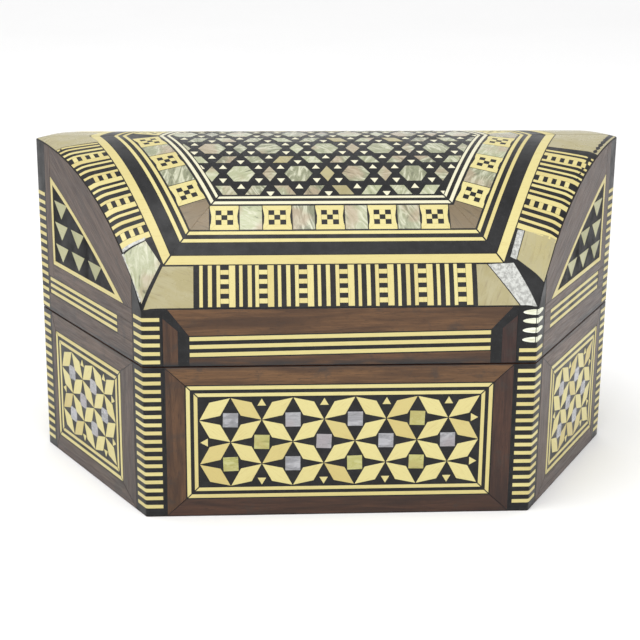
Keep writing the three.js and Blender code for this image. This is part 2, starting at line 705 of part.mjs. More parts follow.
// Straight-sided teeth around a wheel in X and Y: each is a wedge that narrows outwards.
function toothedOutline(teeth, root, tip, rootShare, tipShare, phase = 0) {
  const pitch = 2 * Math.PI / teeth;
  const points = [];
  for (let tooth = 0; tooth < teeth; tooth += 1) {
    const middle = phase + tooth * pitch;
    const corner = (radius, share) => {
      const angle = middle + share * pitch / 2;
      return [radius * Math.cos(angle), radius * Math.sin(angle)];
    };
    points.push(corner(root, -rootShare), corner(tip, -tipShare));
    points.push(corner(tip, tipShare), corner(root, rootShare));
  }
  return points;
}

// A wheel outline stood up so that its axis lies along Y, at (x, z), from y = from to y = to.
function wheelAlongY(points, x, z, from, to) {
  const raised = new THREE.ExtrudeGeometry(outline(points), { depth: to - from, bevelEnabled: false });
  return solid(raised.rotateX(Math.PI / 2).translate(x, to, z));
}

function bedplate() {
  const half = BED_WIDTH / 2;
  const root = BED - JOIN;
  const bossLeft = COMB_TIP_X + COMB_TOOTH + BOSS_MARGIN;
  const bossTop = AXIS_Z - COMB_THICK / 2 - RUNNING;
  const boss = box(bossLeft, half - BOSS_MARGIN, DRUM_END, DRUM_START, root, bossTop);
  const bearing = (from) => box(AXIS_X - BEARING_HALF_WIDTH, AXIS_X + BEARING_HALF_WIDTH, from,
    from + BEARING_THICK, root, AXIS_Z + BEARING_CROWN);
  const front = bearing(DRUM_START + 2 * TOUCH);
  const back = bearing(GEAR_Y - GEAR_THICK / 2 - TOUCH - BEARING_THICK);
  const plate = box(-half, half, -BED_FRONT, BED_BACK, 0, BED);
  const bores = [
    axle(AXIS_X, AXIS_Z, -BED_FRONT, BED_BACK, ARBOR_RADIUS + RUNNING / 2),
    ...holes([[AXIS_X, BARREL_Y]], 0, BED, WINDING_RADIUS + RUNNING),
    ...holes([clickPivot()], 0, BED, CLICK_POST_RADIUS + RUNNING / 2),
    ...holes(BED_SCREWS, 0, BED - PAST - 2 * BED_LIFT, BED_SCREW_RADIUS + RUNNING),
    ...holes(combScrewPlaces(), AXIS_Z - COMB_SCREW_LENGTH, AXIS_Z, COMB_SCREW_RADIUS + RUNNING),
  ];
  return piece("bedplate", cut(joined(plate, boss, front, back, leverEar()), ...bores), STEEL);
}

// The ear beside the plate carries the stop lever's two cheeks.
function leverEar() {
  const from = LEVER_LENGTH - LEVER_CHEEK_HALF;
  const to = LEVER_LENGTH + LEVER_CHEEK_HALF;
  const outer = LEVER_CHEEK_GAP + LEVER_CHEEK;
  const top = LEVER_FOOT - BED_FOOT + BED;
  const cheek = (across) => leverBar(from, to, across, across + LEVER_CHEEK, BED / 4, top);
  const arm = leverBar(from, to, -LEVER_CHEEK_GAP - LEVER_ARM_REACH, outer, 0, LEVER_CHEEK_HALF);
  const pivotZ = LEVER_FOOT - BED_FOOT + LEVER_THICK / 2;
  const bore = leverPivot(pivotZ, 2 * outer + PAST, LEVER_PIVOT_RADIUS + RUNNING / 2);
  return cut(joined(arm, cheek(LEVER_CHEEK_GAP), cheek(-outer)), bore);
}

// A block in the lever's own directions: from..to along it, low..high across it towards the wall.
function leverBar(from, to, acrossLow, acrossHigh, z0, z1) {
  const place = (offset, across) => {
    const spot = alongLever(offset).addScaledVector(WALL_NORMAL, across);
    return [spot.x - MOVEMENT_X, spot.y];
  };
  const near = [place(from, acrossHigh), place(to, acrossHigh)];
  const far = [place(to, acrossLow), place(from, acrossLow)];
  return prism([...near, ...far], z0, z1);
}

// A round bar across the lever at its pivot.
function leverPivot(z, reach, radius) {
  const spot = alongLever(LEVER_LENGTH);
  const bar = new THREE.CylinderGeometry(radius, radius, reach, 16);
  bar.rotateZ(Math.PI / 2).rotateZ(Math.atan2(WALL_NORMAL.y, WALL_NORMAL.x));
  return solid(bar.translate(spot.x - MOVEMENT_X, spot.y, z));
}

function stopLever() {
  const foot = LEVER_FOOT - BED_FOOT;
  const bar = leverBar(-LEVER_TIP, LEVER_LENGTH + LEVER_HEEL, -LEVER_HALF_WIDTH, LEVER_HALF_WIDTH, foot,
    foot + LEVER_THICK);
  const pivot = leverPivot(foot + LEVER_THICK / 2, LEVER_PIVOT_LENGTH, LEVER_PIVOT_RADIUS);
  return piece("stop_lever", bar.add(pivot), STEEL);
}

function stopPlunger() {
  const spot = alongLever(PLUNGER_OFFSET);
  const low = LEVER_FOOT + LEVER_THICK + TOUCH;
  return piece("stop_plunger", rod(spot.x, spot.y, low, LID_FOOT + FIT - TOUCH, PLUNGER_RADIUS), STEEL);
}

function combScrewPlaces() {
  const x = COMB_TIP_X + COMB_TOOTH + COMB_BODY / 2;
  const offset = DRUM_LENGTH * COMB_SCREW_SHARE;
  return [[x, DRUM_START - offset], [x, DRUM_END + offset]];
}

function comb() {
  const low = AXIS_Z - COMB_THICK / 2;
  const high = AXIS_Z + COMB_THICK / 2;
  const root = COMB_TIP_X + COMB_TOOTH;
  const plate = box(COMB_TIP_X, root + COMB_BODY, DRUM_END, DRUM_START, low, high);
  const slots = [];
  for (let note = 1; note < NOTES; note += 1) {
    const y = DRUM_END + note * NOTE_PITCH;
    slots.push(box(COMB_TIP_X - PAST, root, y - COMB_SLOT / 2, y + COMB_SLOT / 2, low - PAST, high + PAST));
  }
  const screwHoles = holes(combScrewPlaces(), low, high, COMB_SCREW_RADIUS + RUNNING);
  return piece("comb", cut(plate, ...slots, ...screwHoles), STEEL);
}

function combScrews() {
  const seat = AXIS_Z + COMB_THICK / 2 + SEAT;
  return combScrewPlaces().map(([x, y], index) => piece(`comb_screw_${index + 1}`,
    screw(x, y, seat, COMB_SCREW_LENGTH, COMB_SCREW_RADIUS), STEEL));
}

function bedScrews() {
  const seat = FLOOR_UNDERSIDE - BED_FOOT - SEAT;
  return BED_SCREWS.map(([x, y], index) => piece(`bed_screw_${index + 1}`,
    screw(x, y, seat, FLOOR_BOARD + BED_SCREW_BITE, BED_SCREW_RADIUS, -1), STEEL));
}

function crownTeeth() {
  const low = CROWN_ROOT - TOUCH;
  const high = CROWN_ROOT + CROWN_HEIGHT;
  const inner = CROWN_RADIUS - CROWN_HALF_FACE;
  const half = (z) => CROWN_HALF_TOOTH - CROWN_TAPER * (z - CROWN_ROOT);
  const section = outline([[-half(low), low], [half(low), low], [half(high), high], [-half(high), high]]);
  const teeth = [];
  for (let tooth = 0; tooth < CROWN_TEETH; tooth += 1) {
    const bar = new THREE.ExtrudeGeometry(section, { depth: 2 * CROWN_HALF_FACE, bevelEnabled: false });
    bar.rotateX(Math.PI / 2).translate(0, -inner, 0);
    bar.rotateZ(2 * Math.PI * tooth / CROWN_TEETH).translate(AXIS_X, BARREL_Y, 0);
    teeth.push(solid(bar));
  }
  return teeth;
}

// A cup with the crown teeth on its roof, open below over the mainspring.
function barrel() {
  const upright = (low, high, radius) => rod(AXIS_X, BARREL_Y, low, high, radius, radius, 40);
  const cup = upright(BARREL_FOOT, CROWN_ROOT, BARREL_RADIUS);
  const hollow = upright(BARREL_FOOT - PAST, CROWN_ROOT - BARREL_ROOF, BARREL_RADIUS - BARREL_WALL);
  const bore = rod(AXIS_X, BARREL_Y, BARREL_FOOT, CROWN_ROOT + PAST, WINDING_RADIUS + RUNNING);
  return piece("barrel", joined(cut(cup, hollow, bore), ...crownTeeth()), BRASS);
}

// A flat spiral of spring strip between the arbor and the barrel wall.
function mainspring() {
  const inner = WINDING_RADIUS + SPRING_MARGIN;
  const outer = BARREL_RADIUS - BARREL_WALL - SPRING_MARGIN;
  const steps = SPRING_TURNS * 20;
  const at = (step, offset) => {
    const share = step / steps;
    const radius = inner + (outer - inner - SPRING_STRIP) * share + offset;
    const angle = share * SPRING_TURNS * 2 * Math.PI;
    return [AXIS_X + radius * Math.cos(angle), BARREL_Y + radius * Math.sin(angle)];
  };
  const inside = Array.from({ length: steps + 1 }, (_, step) => at(step, 0));
  const outside = Array.from({ length: steps + 1 }, (_, step) => at(steps - step, SPRING_STRIP));
  const ribbon = [...inside.reverse(), ...outside.reverse()];
  const coil = prism(ribbon, BARREL_FOOT + TOUCH, CROWN_ROOT - BARREL_ROOF - TOUCH);
  return piece("mainspring", coil, STEEL);
}

function windingArbor() {
  const low = KEY_CLEARANCE + KEY_SOCKET - BED_FOOT;
  return piece("winding_arbor", rod(AXIS_X, BARREL_Y, low, CROWN_ROOT + TOUCH, WINDING_RADIUS), STEEL);
}

function ratchetWheel() {
  const at = (radius, angle) => [AXIS_X + radius * Math.cos(angle), BARREL_Y + radius * Math.sin(angle)];
  const points = [];
  for (let tooth = 0; tooth < RATCHET_TEETH; tooth += 1) {
    const angle = 2 * Math.PI * tooth / RATCHET_TEETH;
    points.push(at(RATCHET_RADIUS - RATCHET_TOOTH, angle), at(RATCHET_RADIUS, angle + RATCHET_TIP_TURN));
  }
  const high = RATCHET_FOOT + RATCHET;
  const [bore] = holes([[AXIS_X, BARREL_Y]], RATCHET_FOOT, high, WINDING_RADIUS + RUNNING);
  return piece("ratchet_wheel", cut(prism(points, RATCHET_FOOT, high), bore), STEEL);
}

function clickPivot() {
  const [across, along] = CLICK_PIVOT;
  return [AXIS_X + RATCHET_RADIUS + across, BARREL_Y + along];
}

// The click's nose rests against the steep face of the tooth at angle 0; its tail is a thin return spring.
function click() {
  const [x, y] = clickPivot();
  const nose = (across, along) => [AXIS_X + RATCHET_RADIUS + across, BARREL_Y + along];
  const tail = (across, along) => [x + across, y + along];
  const arm = [
    nose(-0.65, -0.15), nose(-0.5, -1), nose(1.5, -0.6), tail(1.2, -0.4), tail(0.7, 1.1),
    tail(-0.9, 0.9), tail(-1, -0.4), nose(0.25, 0.3), nose(0.2, -0.12),
  ];
  const strip = [tail(0, 1), tail(0.4, 0.6), tail(5.6, 4.9), tail(5.3, 5.2)];
  const lever = prism(arm, RATCHET_FOOT, RATCHET_FOOT + RATCHET);
  const post = rod(x, y, TOUCH, RATCHET_FOOT + JOIN, CLICK_POST_RADIUS, CLICK_POST_RADIUS, 16);
  const spring = prism(strip, RATCHET_FOOT + 2 * JOIN, RATCHET_FOOT + RATCHET - 2 * JOIN);
  return piece("click", joined(lever, post, spring), STEEL);
}

// Wings in an upright plane on a hub that takes the arbor's end.
function windingKey() {
  const foot = KEY_CLEARANCE - BED_FOOT;
  const hubHigh = FLOOR_UNDERSIDE - BED_FOOT - TOUCH;
  const middle = foot + KEY_HALF_HEIGHT + TOUCH;
  const end = KEY_SPAN / 2;
  const lobe = 0.35 * end;
  const top = middle + KEY_HALF_HEIGHT;
  const low = middle - KEY_HALF_HEIGHT;
  const wings = new THREE.Shape();
  wings.moveTo(-1, middle - KEY_WAIST);
  wings.lineTo(1, middle - KEY_WAIST);
  wings.quadraticCurveTo(lobe, low, end - KEY_LUG, low);
  wings.quadraticCurveTo(end, low, end, middle);
  wings.quadraticCurveTo(end, top, end - KEY_LUG, top);
  wings.quadraticCurveTo(lobe, top, 1, middle + KEY_WAIST);
  wings.lineTo(-1, middle + KEY_WAIST);
  wings.quadraticCurveTo(-lobe, top, -end + KEY_LUG, top);
  wings.quadraticCurveTo(-end, top, -end, middle);
  wings.quadraticCurveTo(-end, low, -end + KEY_LUG, low);
  wings.quadraticCurveTo(-lobe, low, -1, middle - KEY_WAIST);
  const settings = { depth: KEY_THICK, bevelEnabled: false, curveSegments: 6 };
  const plate = new THREE.ExtrudeGeometry(wings, settings);
  plate.rotateX(Math.PI / 2).translate(AXIS_X, BARREL_Y + KEY_THICK / 2, 0);
  const hub = rod(AXIS_X, BARREL_Y, foot + KEY_HUB_LIFT, hubHigh, KEY_HUB * KEY_HUB_TAPER, KEY_HUB);
  const socketLow = foot + KEY_SOCKET - TOUCH - JOIN;
  const socket = rod(AXIS_X, BARREL_Y, socketLow, hubHigh + PAST, WINDING_RADIUS + RUNNING);
  return piece("winding_key", cut(joined(solid(plate), hub), socket), BRASS);
}

// Pins that pluck the comb, three to a note, spread round the drum.
function cylinderPins() {
  const pins = [];
  const spread = THREE.MathUtils.degToRad(137.5);
  const between = THREE.MathUtils.degToRad(104);
  const start = THREE.MathUtils.degToRad(40);
  for (let note = 0; note < NOTES; note += 1) {
    const y = DRUM_END + (note + 0.5) * NOTE_PITCH;
    for (let pin = 0; pin < PINS_PER_NOTE; pin += 1) {
      const stub = new THREE.CylinderGeometry(PIN_TIP, PIN_ROOT, 2 * PIN_HEIGHT, 4);
      stub.rotateX(Math.PI / 2).translate(0, 0, DRUM_RADIUS);
      stub.rotateY(start + note * spread + pin * between).translate(AXIS_X, y, AXIS_Z);
      pins.push(solid(stub));
    }
  }
  return pins;
}

function cylinder() {
  const drum = axle(AXIS_X, AXIS_Z, DRUM_END, DRUM_START, DRUM_RADIUS, 32);
  const bore = axle(AXIS_X, AXIS_Z, DRUM_END - PAST, DRUM_START + PAST, ARBOR_RADIUS + RUNNING);
  return piece("cylinder", cut(joined(drum, ...cylinderPins()), bore), BRASS);
}

// A wheel of spur teeth along Y, centred on y = middle; the phase turns its first tooth.
function spurWheel(x, middle, thick, teeth, radius, cuts, phase) {
  const { dedendum, addendum, root, tip } = cuts;
  const points = toothedOutline(teeth, radius - dedendum, radius + addendum, root, tip, phase);
  return wheelAlongY(points, x, AXIS_Z, middle - thick / 2, middle + thick / 2);
}

// Shaft, drive pinion at the barrel and gear at the governor. A pinion gap faces the crown tooth below it.
function cylinderArbor() {
  const from = GEAR_Y - GEAR_THICK / 2 - TOUCH - BEARING_THICK - FRAME_LIFT;
  const shaft = axle(AXIS_X, AXIS_Z, from, MESH_Y + PINION_LENGTH / 2, ARBOR_RADIUS);
  const coarse = { dedendum: PINION_DEDENDUM, addendum: PINION_ADDENDUM, root: 0.5, tip: 0.22 };
  const fine = { dedendum: GEAR_DEDENDUM, addendum: GEAR_ADDENDUM, root: 0.5, tip: 0.24 };
  const gapDown = Math.PI / PINION_TEETH - Math.PI / 2;
  const gapLeft = Math.PI / GEAR_TEETH + Math.PI;
  const pinion = spurWheel(AXIS_X, MESH_Y, PINION_LENGTH, PINION_TEETH, PINION_RADIUS, coarse, gapDown);
  const gear = spurWheel(AXIS_X, GEAR_Y, GEAR_THICK, GEAR_TEETH, GEAR_RADIUS, fine, gapLeft);
  return piece("cylinder_arbor", joined(shaft, pinion, gear), STEEL);
}

// Two cheeks either side of the governor wheel, joined by a foot and by an arm over the worm shaft.
function governorFrame() {
  const left = WORM_X - FRAME_MARGIN;
  const right = GOVERNOR_X + FRAME_MARGIN;
  const cheekLeft = WORM_X + FAN_RADIUS + TOUCH;
  const cheek = (y) => box(cheekLeft, right, y, y + CHEEK, FRAME_FOOT, FRAME_TOP);
  const bar = (low) => box(left, right, PLATE_FAR, PLATE_NEAR, low, low + FRAME_BAR);
  const cheeks = joined(cheek(PLATE_FAR), cheek(PLATE_NEAR - CHEEK));
  const body = joined(cheeks, bar(FRAME_FOOT), bar(FRAME_TOP - FRAME_BAR));
  const arborHole = GOVERNOR_ARBOR + RUNNING / 2;
  const arborBore = axle(GOVERNOR_X, AXIS_Z, PLATE_FAR - PAST, PLATE_NEAR + PAST, arborHole, 16);
  const wormHole = WORM_SHAFT + RUNNING / 2;
  const wormBore = rod(WORM_X, WHEEL_Y, FRAME_FOOT - PAST, FRAME_TOP + PAST, wormHole, wormHole, 16);
  return piece("governor_frame", cut(body, arborBore, wormBore), BRASS);
}

// Pinion driven by the cylinder gear, and the wheel that turns the worm.
function governorWheel() {
  const shaft = axle(GOVERNOR_X, AXIS_Z, PLATE_FAR, GEAR_Y + GEAR_THICK / 2, GOVERNOR_ARBOR, 16);
  const fine = { dedendum: GEAR_DEDENDUM, addendum: GEAR_ADDENDUM, root: 0.48, tip: 0.22 };
  const worm = { dedendum: WHEEL_DEDENDUM, addendum: WHEEL_ADDENDUM, root: 0.44, tip: 0.2 };
  const gapLeft = Math.PI / WHEEL_TEETH + Math.PI;
  const pinion = spurWheel(GOVERNOR_X, GEAR_Y, GEAR_THICK, GOVERNOR_TEETH, GOVERNOR_RADIUS, fine, 0);
  const wheel = spurWheel(GOVERNOR_X, WHEEL_Y, WHEEL_THICK, WHEEL_TEETH, WHEEL_RADIUS, worm, gapLeft);
  return piece("governor_wheel", joined(shaft, pinion, wheel), BRASS);
}

// The worm's thread as a strip wound round the shaft, one turn for each wheel tooth.
function wormThread() {
  const lead = 2 * Math.PI * WHEEL_RADIUS / WHEEL_TEETH;
  const steps = WORM_TURNS * 16;
  const sides = WORM_SECTION.length;
  const positions = [];
  for (let step = 0; step <= steps; step += 1) {
    const turn = (step / steps - 0.5) * WORM_TURNS;
    const angle = turn * 2 * Math.PI;
    for (const [out, up] of WORM_SECTION) {
      const radius = WORM_RADIUS + out;
      positions.push(WORM_X + radius * Math.cos(angle));
      positions.push(WHEEL_Y + radius * Math.sin(angle));
      positions.push(AXIS_Z + turn * lead + up);
    }
  }
  const index = [];
  for (let step = 0; step < steps; step += 1) {
    for (let side = 0; side < sides; side += 1) {
      const near = step * sides + side;
      const next = step * sides + (side + 1) % sides;
      index.push(near, next, next + sides, near, next + sides, near + sides);
    }
  }
  const last = steps * sides;
  index.push(0, 2, 1, 0, 3, 2, last, last + 1, last + 2, last, last + 2, last + 3);
  const thread = new THREE.BufferGeometry();
  thread.setAttribute("position", new THREE.Float32BufferAttribute(positions, 3));
  thread.setIndex(index);
  return solid(thread);
}

// The worm, the two-winged fan that slows it and the disc that the stop lever presses on, on one shaft.
function airBrake() {
  const bar = (low, high, radius, sides) => rod(WORM_X, WHEEL_Y, low, high, radius, radius, sides);
  const discTop = BRAKE_TOP - BED_FOOT;
  const discFoot = discTop - BRAKE_THICK;
  const fanFoot = FRAME_FOOT + FAN_LIFT;
  const shaft = bar(FRAME_FOOT, FRAME_TOP, WORM_SHAFT, 16);
  const core = bar(AXIS_Z - WORM_HALF_LENGTH, AXIS_Z + WORM_HALF_LENGTH, WORM_CORE, 16);
  const fan = box(WORM_X - FAN_RADIUS, WORM_X + FAN_RADIUS, WHEEL_Y - FAN_THICK / 2, WHEEL_Y + FAN_THICK / 2,
    fanFoot, Math.min(fanFoot + FAN_HEIGHT, discFoot));
  const disc = bar(discFoot, discTop, BRAKE_RADIUS, 24);
  return piece("air_brake", joined(shaft, core, wormThread(), fan, disc), BRASS);
}

// ---- Assembly -----------------------------------------------------------------------------------

const musicBox = new THREE.Group();
const base = new THREE.Group();
const lid = new THREE.Group();
const movement = new THREE.Group();
movement.position.set(MOVEMENT_X, 0, BED_FOOT);

WALL_NAMES.forEach((name, index) => {
  base.add(baseWall(index), basePanel(index));
  lid.add(lidWall(index));
  if (SLANTED.includes(name)) lid.add(lidPanel(index));
});
base.add(floorBoard(), partition(), compartmentLining(), cushion(), coverLedge(), movementCover());
base.add(...coverScrews(), ...hinge(-1), hingePin());
lid.add(vaultBoard(), vaultBorder(), vaultField(), lidLining(), ...hinge(1));
movement.add(bedplate(), ...bedScrews(), comb(), ...combScrews(), barrel(), mainspring(), windingArbor());
movement.add(ratchetWheel(), click(), windingKey(), cylinder(), cylinderArbor(), governorFrame());
movement.add(governorWheel(), airBrake(), stopLever());
base.add(movement, stopPlunger());
musicBox.add(base, lid);

export default musicBox;
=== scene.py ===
import math
import bmesh
import bpy
import numpy as np
from mathutils import Matrix, Vector


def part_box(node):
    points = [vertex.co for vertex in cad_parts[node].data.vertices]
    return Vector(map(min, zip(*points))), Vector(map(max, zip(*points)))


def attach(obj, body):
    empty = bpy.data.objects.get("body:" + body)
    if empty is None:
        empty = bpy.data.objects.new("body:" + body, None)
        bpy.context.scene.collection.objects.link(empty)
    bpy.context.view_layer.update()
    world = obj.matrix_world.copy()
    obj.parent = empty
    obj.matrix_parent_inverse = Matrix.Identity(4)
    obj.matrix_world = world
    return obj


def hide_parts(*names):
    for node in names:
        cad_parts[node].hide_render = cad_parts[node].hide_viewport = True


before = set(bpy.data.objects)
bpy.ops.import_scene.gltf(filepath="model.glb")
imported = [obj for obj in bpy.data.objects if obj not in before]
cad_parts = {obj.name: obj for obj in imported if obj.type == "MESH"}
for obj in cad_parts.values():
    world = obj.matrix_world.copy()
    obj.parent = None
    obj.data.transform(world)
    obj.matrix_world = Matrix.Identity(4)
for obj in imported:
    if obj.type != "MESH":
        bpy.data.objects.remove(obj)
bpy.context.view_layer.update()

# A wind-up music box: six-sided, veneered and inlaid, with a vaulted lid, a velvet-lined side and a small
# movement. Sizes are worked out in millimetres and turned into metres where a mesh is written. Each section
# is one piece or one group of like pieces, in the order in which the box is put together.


# ---- Wall boards ---------------------------------------------------------------------------------
# Six mitred walnut boards make the base and six the lid's sides. Their outside is veneered later; inside,
# the bare planed wood shows round the movement.

MM = 0.001
WALL_NAMES = ["front", "front_right", "back_right", "back", "back_left", "front_left"]


def shade(red, green, blue):
    """A colour as the eye reads it, 0 to 255, made linear: c = (v / 255) ** 2.2."""
    return tuple((value / 255) ** 2.2 for value in (red, green, blue)) + (1.0,)


def node(tree, kind, feeds=None, **settings):
    """One shader node. Each feed is a value for an input, or the output that drives it."""
    made = tree.nodes.new(kind)
    for key, value in settings.items():
        setattr(made, key, value)
    for key, value in (feeds or {}).items():
        if isinstance(value, bpy.types.NodeSocket):
            tree.links.new(value, made.inputs[key])
        else:
            made.inputs[key].default_value = value
    return made


def mixed(tree, share, first, second, blend_type="MIX"):
    """The colour between two colours, or their product."""
    return node(tree, "ShaderNodeMix", {0: share, 6: first, 7: second}, data_type="RGBA",
                blend_type=blend_type).outputs[2]


def spread(tree, value, low, high, out_low=0.0, out_high=1.0):
    """A value stretched from low..high to out_low..out_high and held there."""
    feeds = {"Value": value, "From Min": low, "From Max": high, "To Min": out_low, "To Max": out_high}
    return node(tree, "ShaderNodeMapRange", feeds, interpolation_type="SMOOTHSTEP").outputs[0]


def noise(tree, where, scale, detail=3.0, roughness=0.55, distortion=0.0):
    """Fractal noise at a place, as a value round 0.5."""
    feeds = {"Vector": where, "Scale": scale, "Detail": detail, "Roughness": roughness,
             "Distortion": distortion}
    return node(tree, "ShaderNodeTexNoise", feeds).outputs[0]


def stretched(tree, where, x, y, z):
    """A place with each axis multiplied, so that a pattern is drawn out along the axis with the least."""
    return node(tree, "ShaderNodeVectorMath", {0: where, 1: (x, y, z)}, operation="MULTIPLY").outputs[0]


def new_group(name, takes, gives):
    """A shader group with named sockets: its tree, its inputs to read from and its outputs to feed."""
    tree = bpy.data.node_groups.new(name, "ShaderNodeTree")
    for label, kind, value in takes:
        socket = tree.interface.new_socket(label, in_out="INPUT", socket_type=kind)
        if value is not None:
            socket.default_value = value
    for label, kind in gives:
        tree.interface.new_socket(label, in_out="OUTPUT", socket_type=kind)
    return tree, tree.nodes.new("NodeGroupInput").outputs, tree.nodes.new("NodeGroupOutput").inputs


def use_group(tree, group, feeds):
    """A group placed in a material with its own values."""
    placed = tree.nodes.new("ShaderNodeGroup")
    placed.node_tree = group
    for key, value in feeds.items():
        if isinstance(value, bpy.types.NodeSocket):
            tree.links.new(value, placed.inputs[key])
        else:
            placed.inputs[key].default_value = value
    return placed.outputs


def new_finish(name, **fixed):
    """A material and its Principled shader; what is the same all over is set on the shader's own sockets."""
    material = bpy.data.materials.new(name)
    material.use_nodes = True
    shader = material.node_tree.nodes["Principled BSDF"]
    for label, value in fixed.items():
        shader.inputs[label.replace("_", " ")].default_value = value
    return material, material.node_tree, shader.inputs


def place_on_box(tree):
    """A point's place on the box, in millimetres."""
    return stretched(tree, node(tree, "ShaderNodeTexCoord").outputs["Object"], 1 / MM, 1 / MM, 1 / MM)


def total(tree, first, second):
    """The sum of two values."""
    return node(tree, "ShaderNodeMath", {0: first, 1: second}, operation="ADD").outputs[0]


def product(tree, first, second):
    """One value times another."""
    return node(tree, "ShaderNodeMath", {0: first, 1: second}, operation="MULTIPLY").outputs[0]


def uneven(tree, shader, strength, depth, height):
    """A surface that goes in and out with a height, about as many millimetres as its depth."""
    bump = node(tree, "ShaderNodeBump", {"Strength": strength, "Distance": depth * MM, "Height": height})
    tree.links.new(bump.outputs[0], shader["Normal"])


COLOUR, VALUE, PLACE = "NodeSocketColor", "NodeSocketFloat", "NodeSocketVector"


def timber_group():
    """Wood along x: broad bands, fine streaks and dark open pores; a colour, a roughness and a height."""
    tree, takes, gives = new_group(
        "timber_grain",
        [("Place", PLACE, None), ("Light", COLOUR, (0.3, 0.2, 0.1, 1)),
         ("Dark", COLOUR, (0.1, 0.05, 0.03, 1))],
        [("Colour", COLOUR), ("Roughness", VALUE), ("Height", VALUE)])
    broad = noise(tree, stretched(tree, takes["Place"], 0.05, 0.45, 0.45), 1.0, 3.0, 0.6, 0.6)
    streak = noise(tree, stretched(tree, takes["Place"], 0.14, 2.2, 2.2), 1.0, 4.0, 0.65)
    pore = noise(tree, stretched(tree, takes["Place"], 0.55, 5.5, 5.5), 1.0, 2.0, 0.5)
    figure = mixed(tree, spread(tree, broad, 0.3, 0.7), takes["Dark"], takes["Light"])
    lined = mixed(tree, spread(tree, streak, 0.35, 0.72, 0.0, 0.55), figure, takes["Dark"])
    open_pores = spread(tree, pore, 0.58, 0.72)
    dark_pores = mixed(tree, spread(tree, open_pores, 0, 1, 0, 0.55), lined, (0.012, 0.007, 0.005, 1))
    tree.links.new(dark_pores, gives["Colour"])
    tree.links.new(spread(tree, streak, 0.3, 0.7, 0.32, 0.5), gives["Roughness"])
    tree.links.new(spread(tree, open_pores, 0, 1, 1, 0), gives["Height"])
    return tree


timber_grain = timber_group()


def board_finish(name, light, dark, along, roughness):
    """Bare planed wood by its place in the box; along is how far the grain is drawn in on each axis."""
    material, tree, shader = new_finish(name)
    grain = use_group(tree, timber_grain, {"Place": stretched(tree, place_on_box(tree), *along),
                                           "Light": light, "Dark": dark})
    tree.links.new(grain["Colour"], shader["Base Color"])
    tree.links.new(total(tree, grain["Roughness"], roughness), shader["Roughness"])
    uneven(tree, shader, 0.25, 0.05, grain["Height"])
    return material


def refinish(material, *names):
    """CAD nodes keep their shape and take a better finish."""
    for name in names:
        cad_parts[name].data.materials.clear()
        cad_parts[name].data.materials.append(material)


wall_board = board_finish("walnut_board", shade(112, 76, 54), shade(70, 44, 34), (1, 1, 1), 0.12)
refinish(wall_board, *[f"{part}_wall_{name}" for part in ("base", "lid") for name in WALL_NAMES])


# ---- Floor, partition, ledge and vault board -----------------------------------------------------
# Plain boards of a paler wood, let in between the walls: the floor that everything stands on, the partition,
# the ledge under the clear cover and the bent board under the vault's veneer.

floor_finish = board_finish("floor_beech", shade(176, 136, 96), shade(138, 98, 66), (1, 1, 1), 0.2)
partition_finish = board_finish("partition_walnut", shade(126, 86, 60), shade(80, 50, 38), (0.2, 5, 1), 0.1)
refinish(floor_finish, "floor_board", "cover_ledge", "vault_board")
refinish(partition_finish, "partition")


# ---- Hinge ---------------------------------------------------------------------------------------
# A small strip hinge of rolled brass on a steel pin, screwed down between the back edges of base and lid.


def metal_group():
    """Drawn or rolled metal, scratched and dull in patches: a share of tarnish, a roughness and a height."""
    tree, takes, gives = new_group(
        "worked_metal", [("Place", PLACE, None), ("Polish", VALUE, 0.25)],
        [("Tarnish", VALUE), ("Roughness", VALUE), ("Height", VALUE)])
    patch = noise(tree, takes["Place"], 0.35, 4.0, 0.6)
    scratch = noise(tree, stretched(tree, takes["Place"], 0.4, 9, 9), 1.0, 2.0)
    tree.links.new(spread(tree, patch, 0.45, 0.75), gives["Tarnish"])
    dull = total(tree, spread(tree, patch, 0.4, 0.8, 0, 0.25), takes["Polish"])
    tree.links.new(dull, gives["Roughness"])
    tree.links.new(scratch, gives["Height"])
    return tree


worked_metal = metal_group()


def metal_finish(name, bright, dull, polish):
    """A metal from its bright colour, its tarnished colour and how rough it is where it is cleanest."""
    material, tree, shader = new_finish(name, Metallic=1.0)
    metal = use_group(tree, worked_metal, {"Place": place_on_box(tree), "Polish": polish})
    tree.links.new(mixed(tree, metal["Tarnish"], bright, dull), shader["Base Color"])
    tree.links.new(metal["Roughness"], shader["Roughness"])
    uneven(tree, shader, 0.12, 0.02, metal["Height"])
    return material


rolled_brass = metal_finish("rolled_brass", shade(206, 180, 122), shade(156, 130, 84), 0.28)
drawn_steel = metal_finish("drawn_steel", shade(186, 188, 192), shade(120, 120, 124), 0.22)
refinish(rolled_brass, "hinge_base_leaf", "hinge_lid_leaf", "hinge_base_screw_1", "hinge_base_screw_2",
         "hinge_lid_screw_1", "hinge_lid_screw_2")
refinish(drawn_steel, "hinge_pin")


# ---- Movement ------------------------------------------------------------------------------------
# The musical movement: a zinc bedplate with a steel comb, a brass pin cylinder, the spring barrel and winding
# key, the governor with its air brake, and the lever that the lid works to stop it.

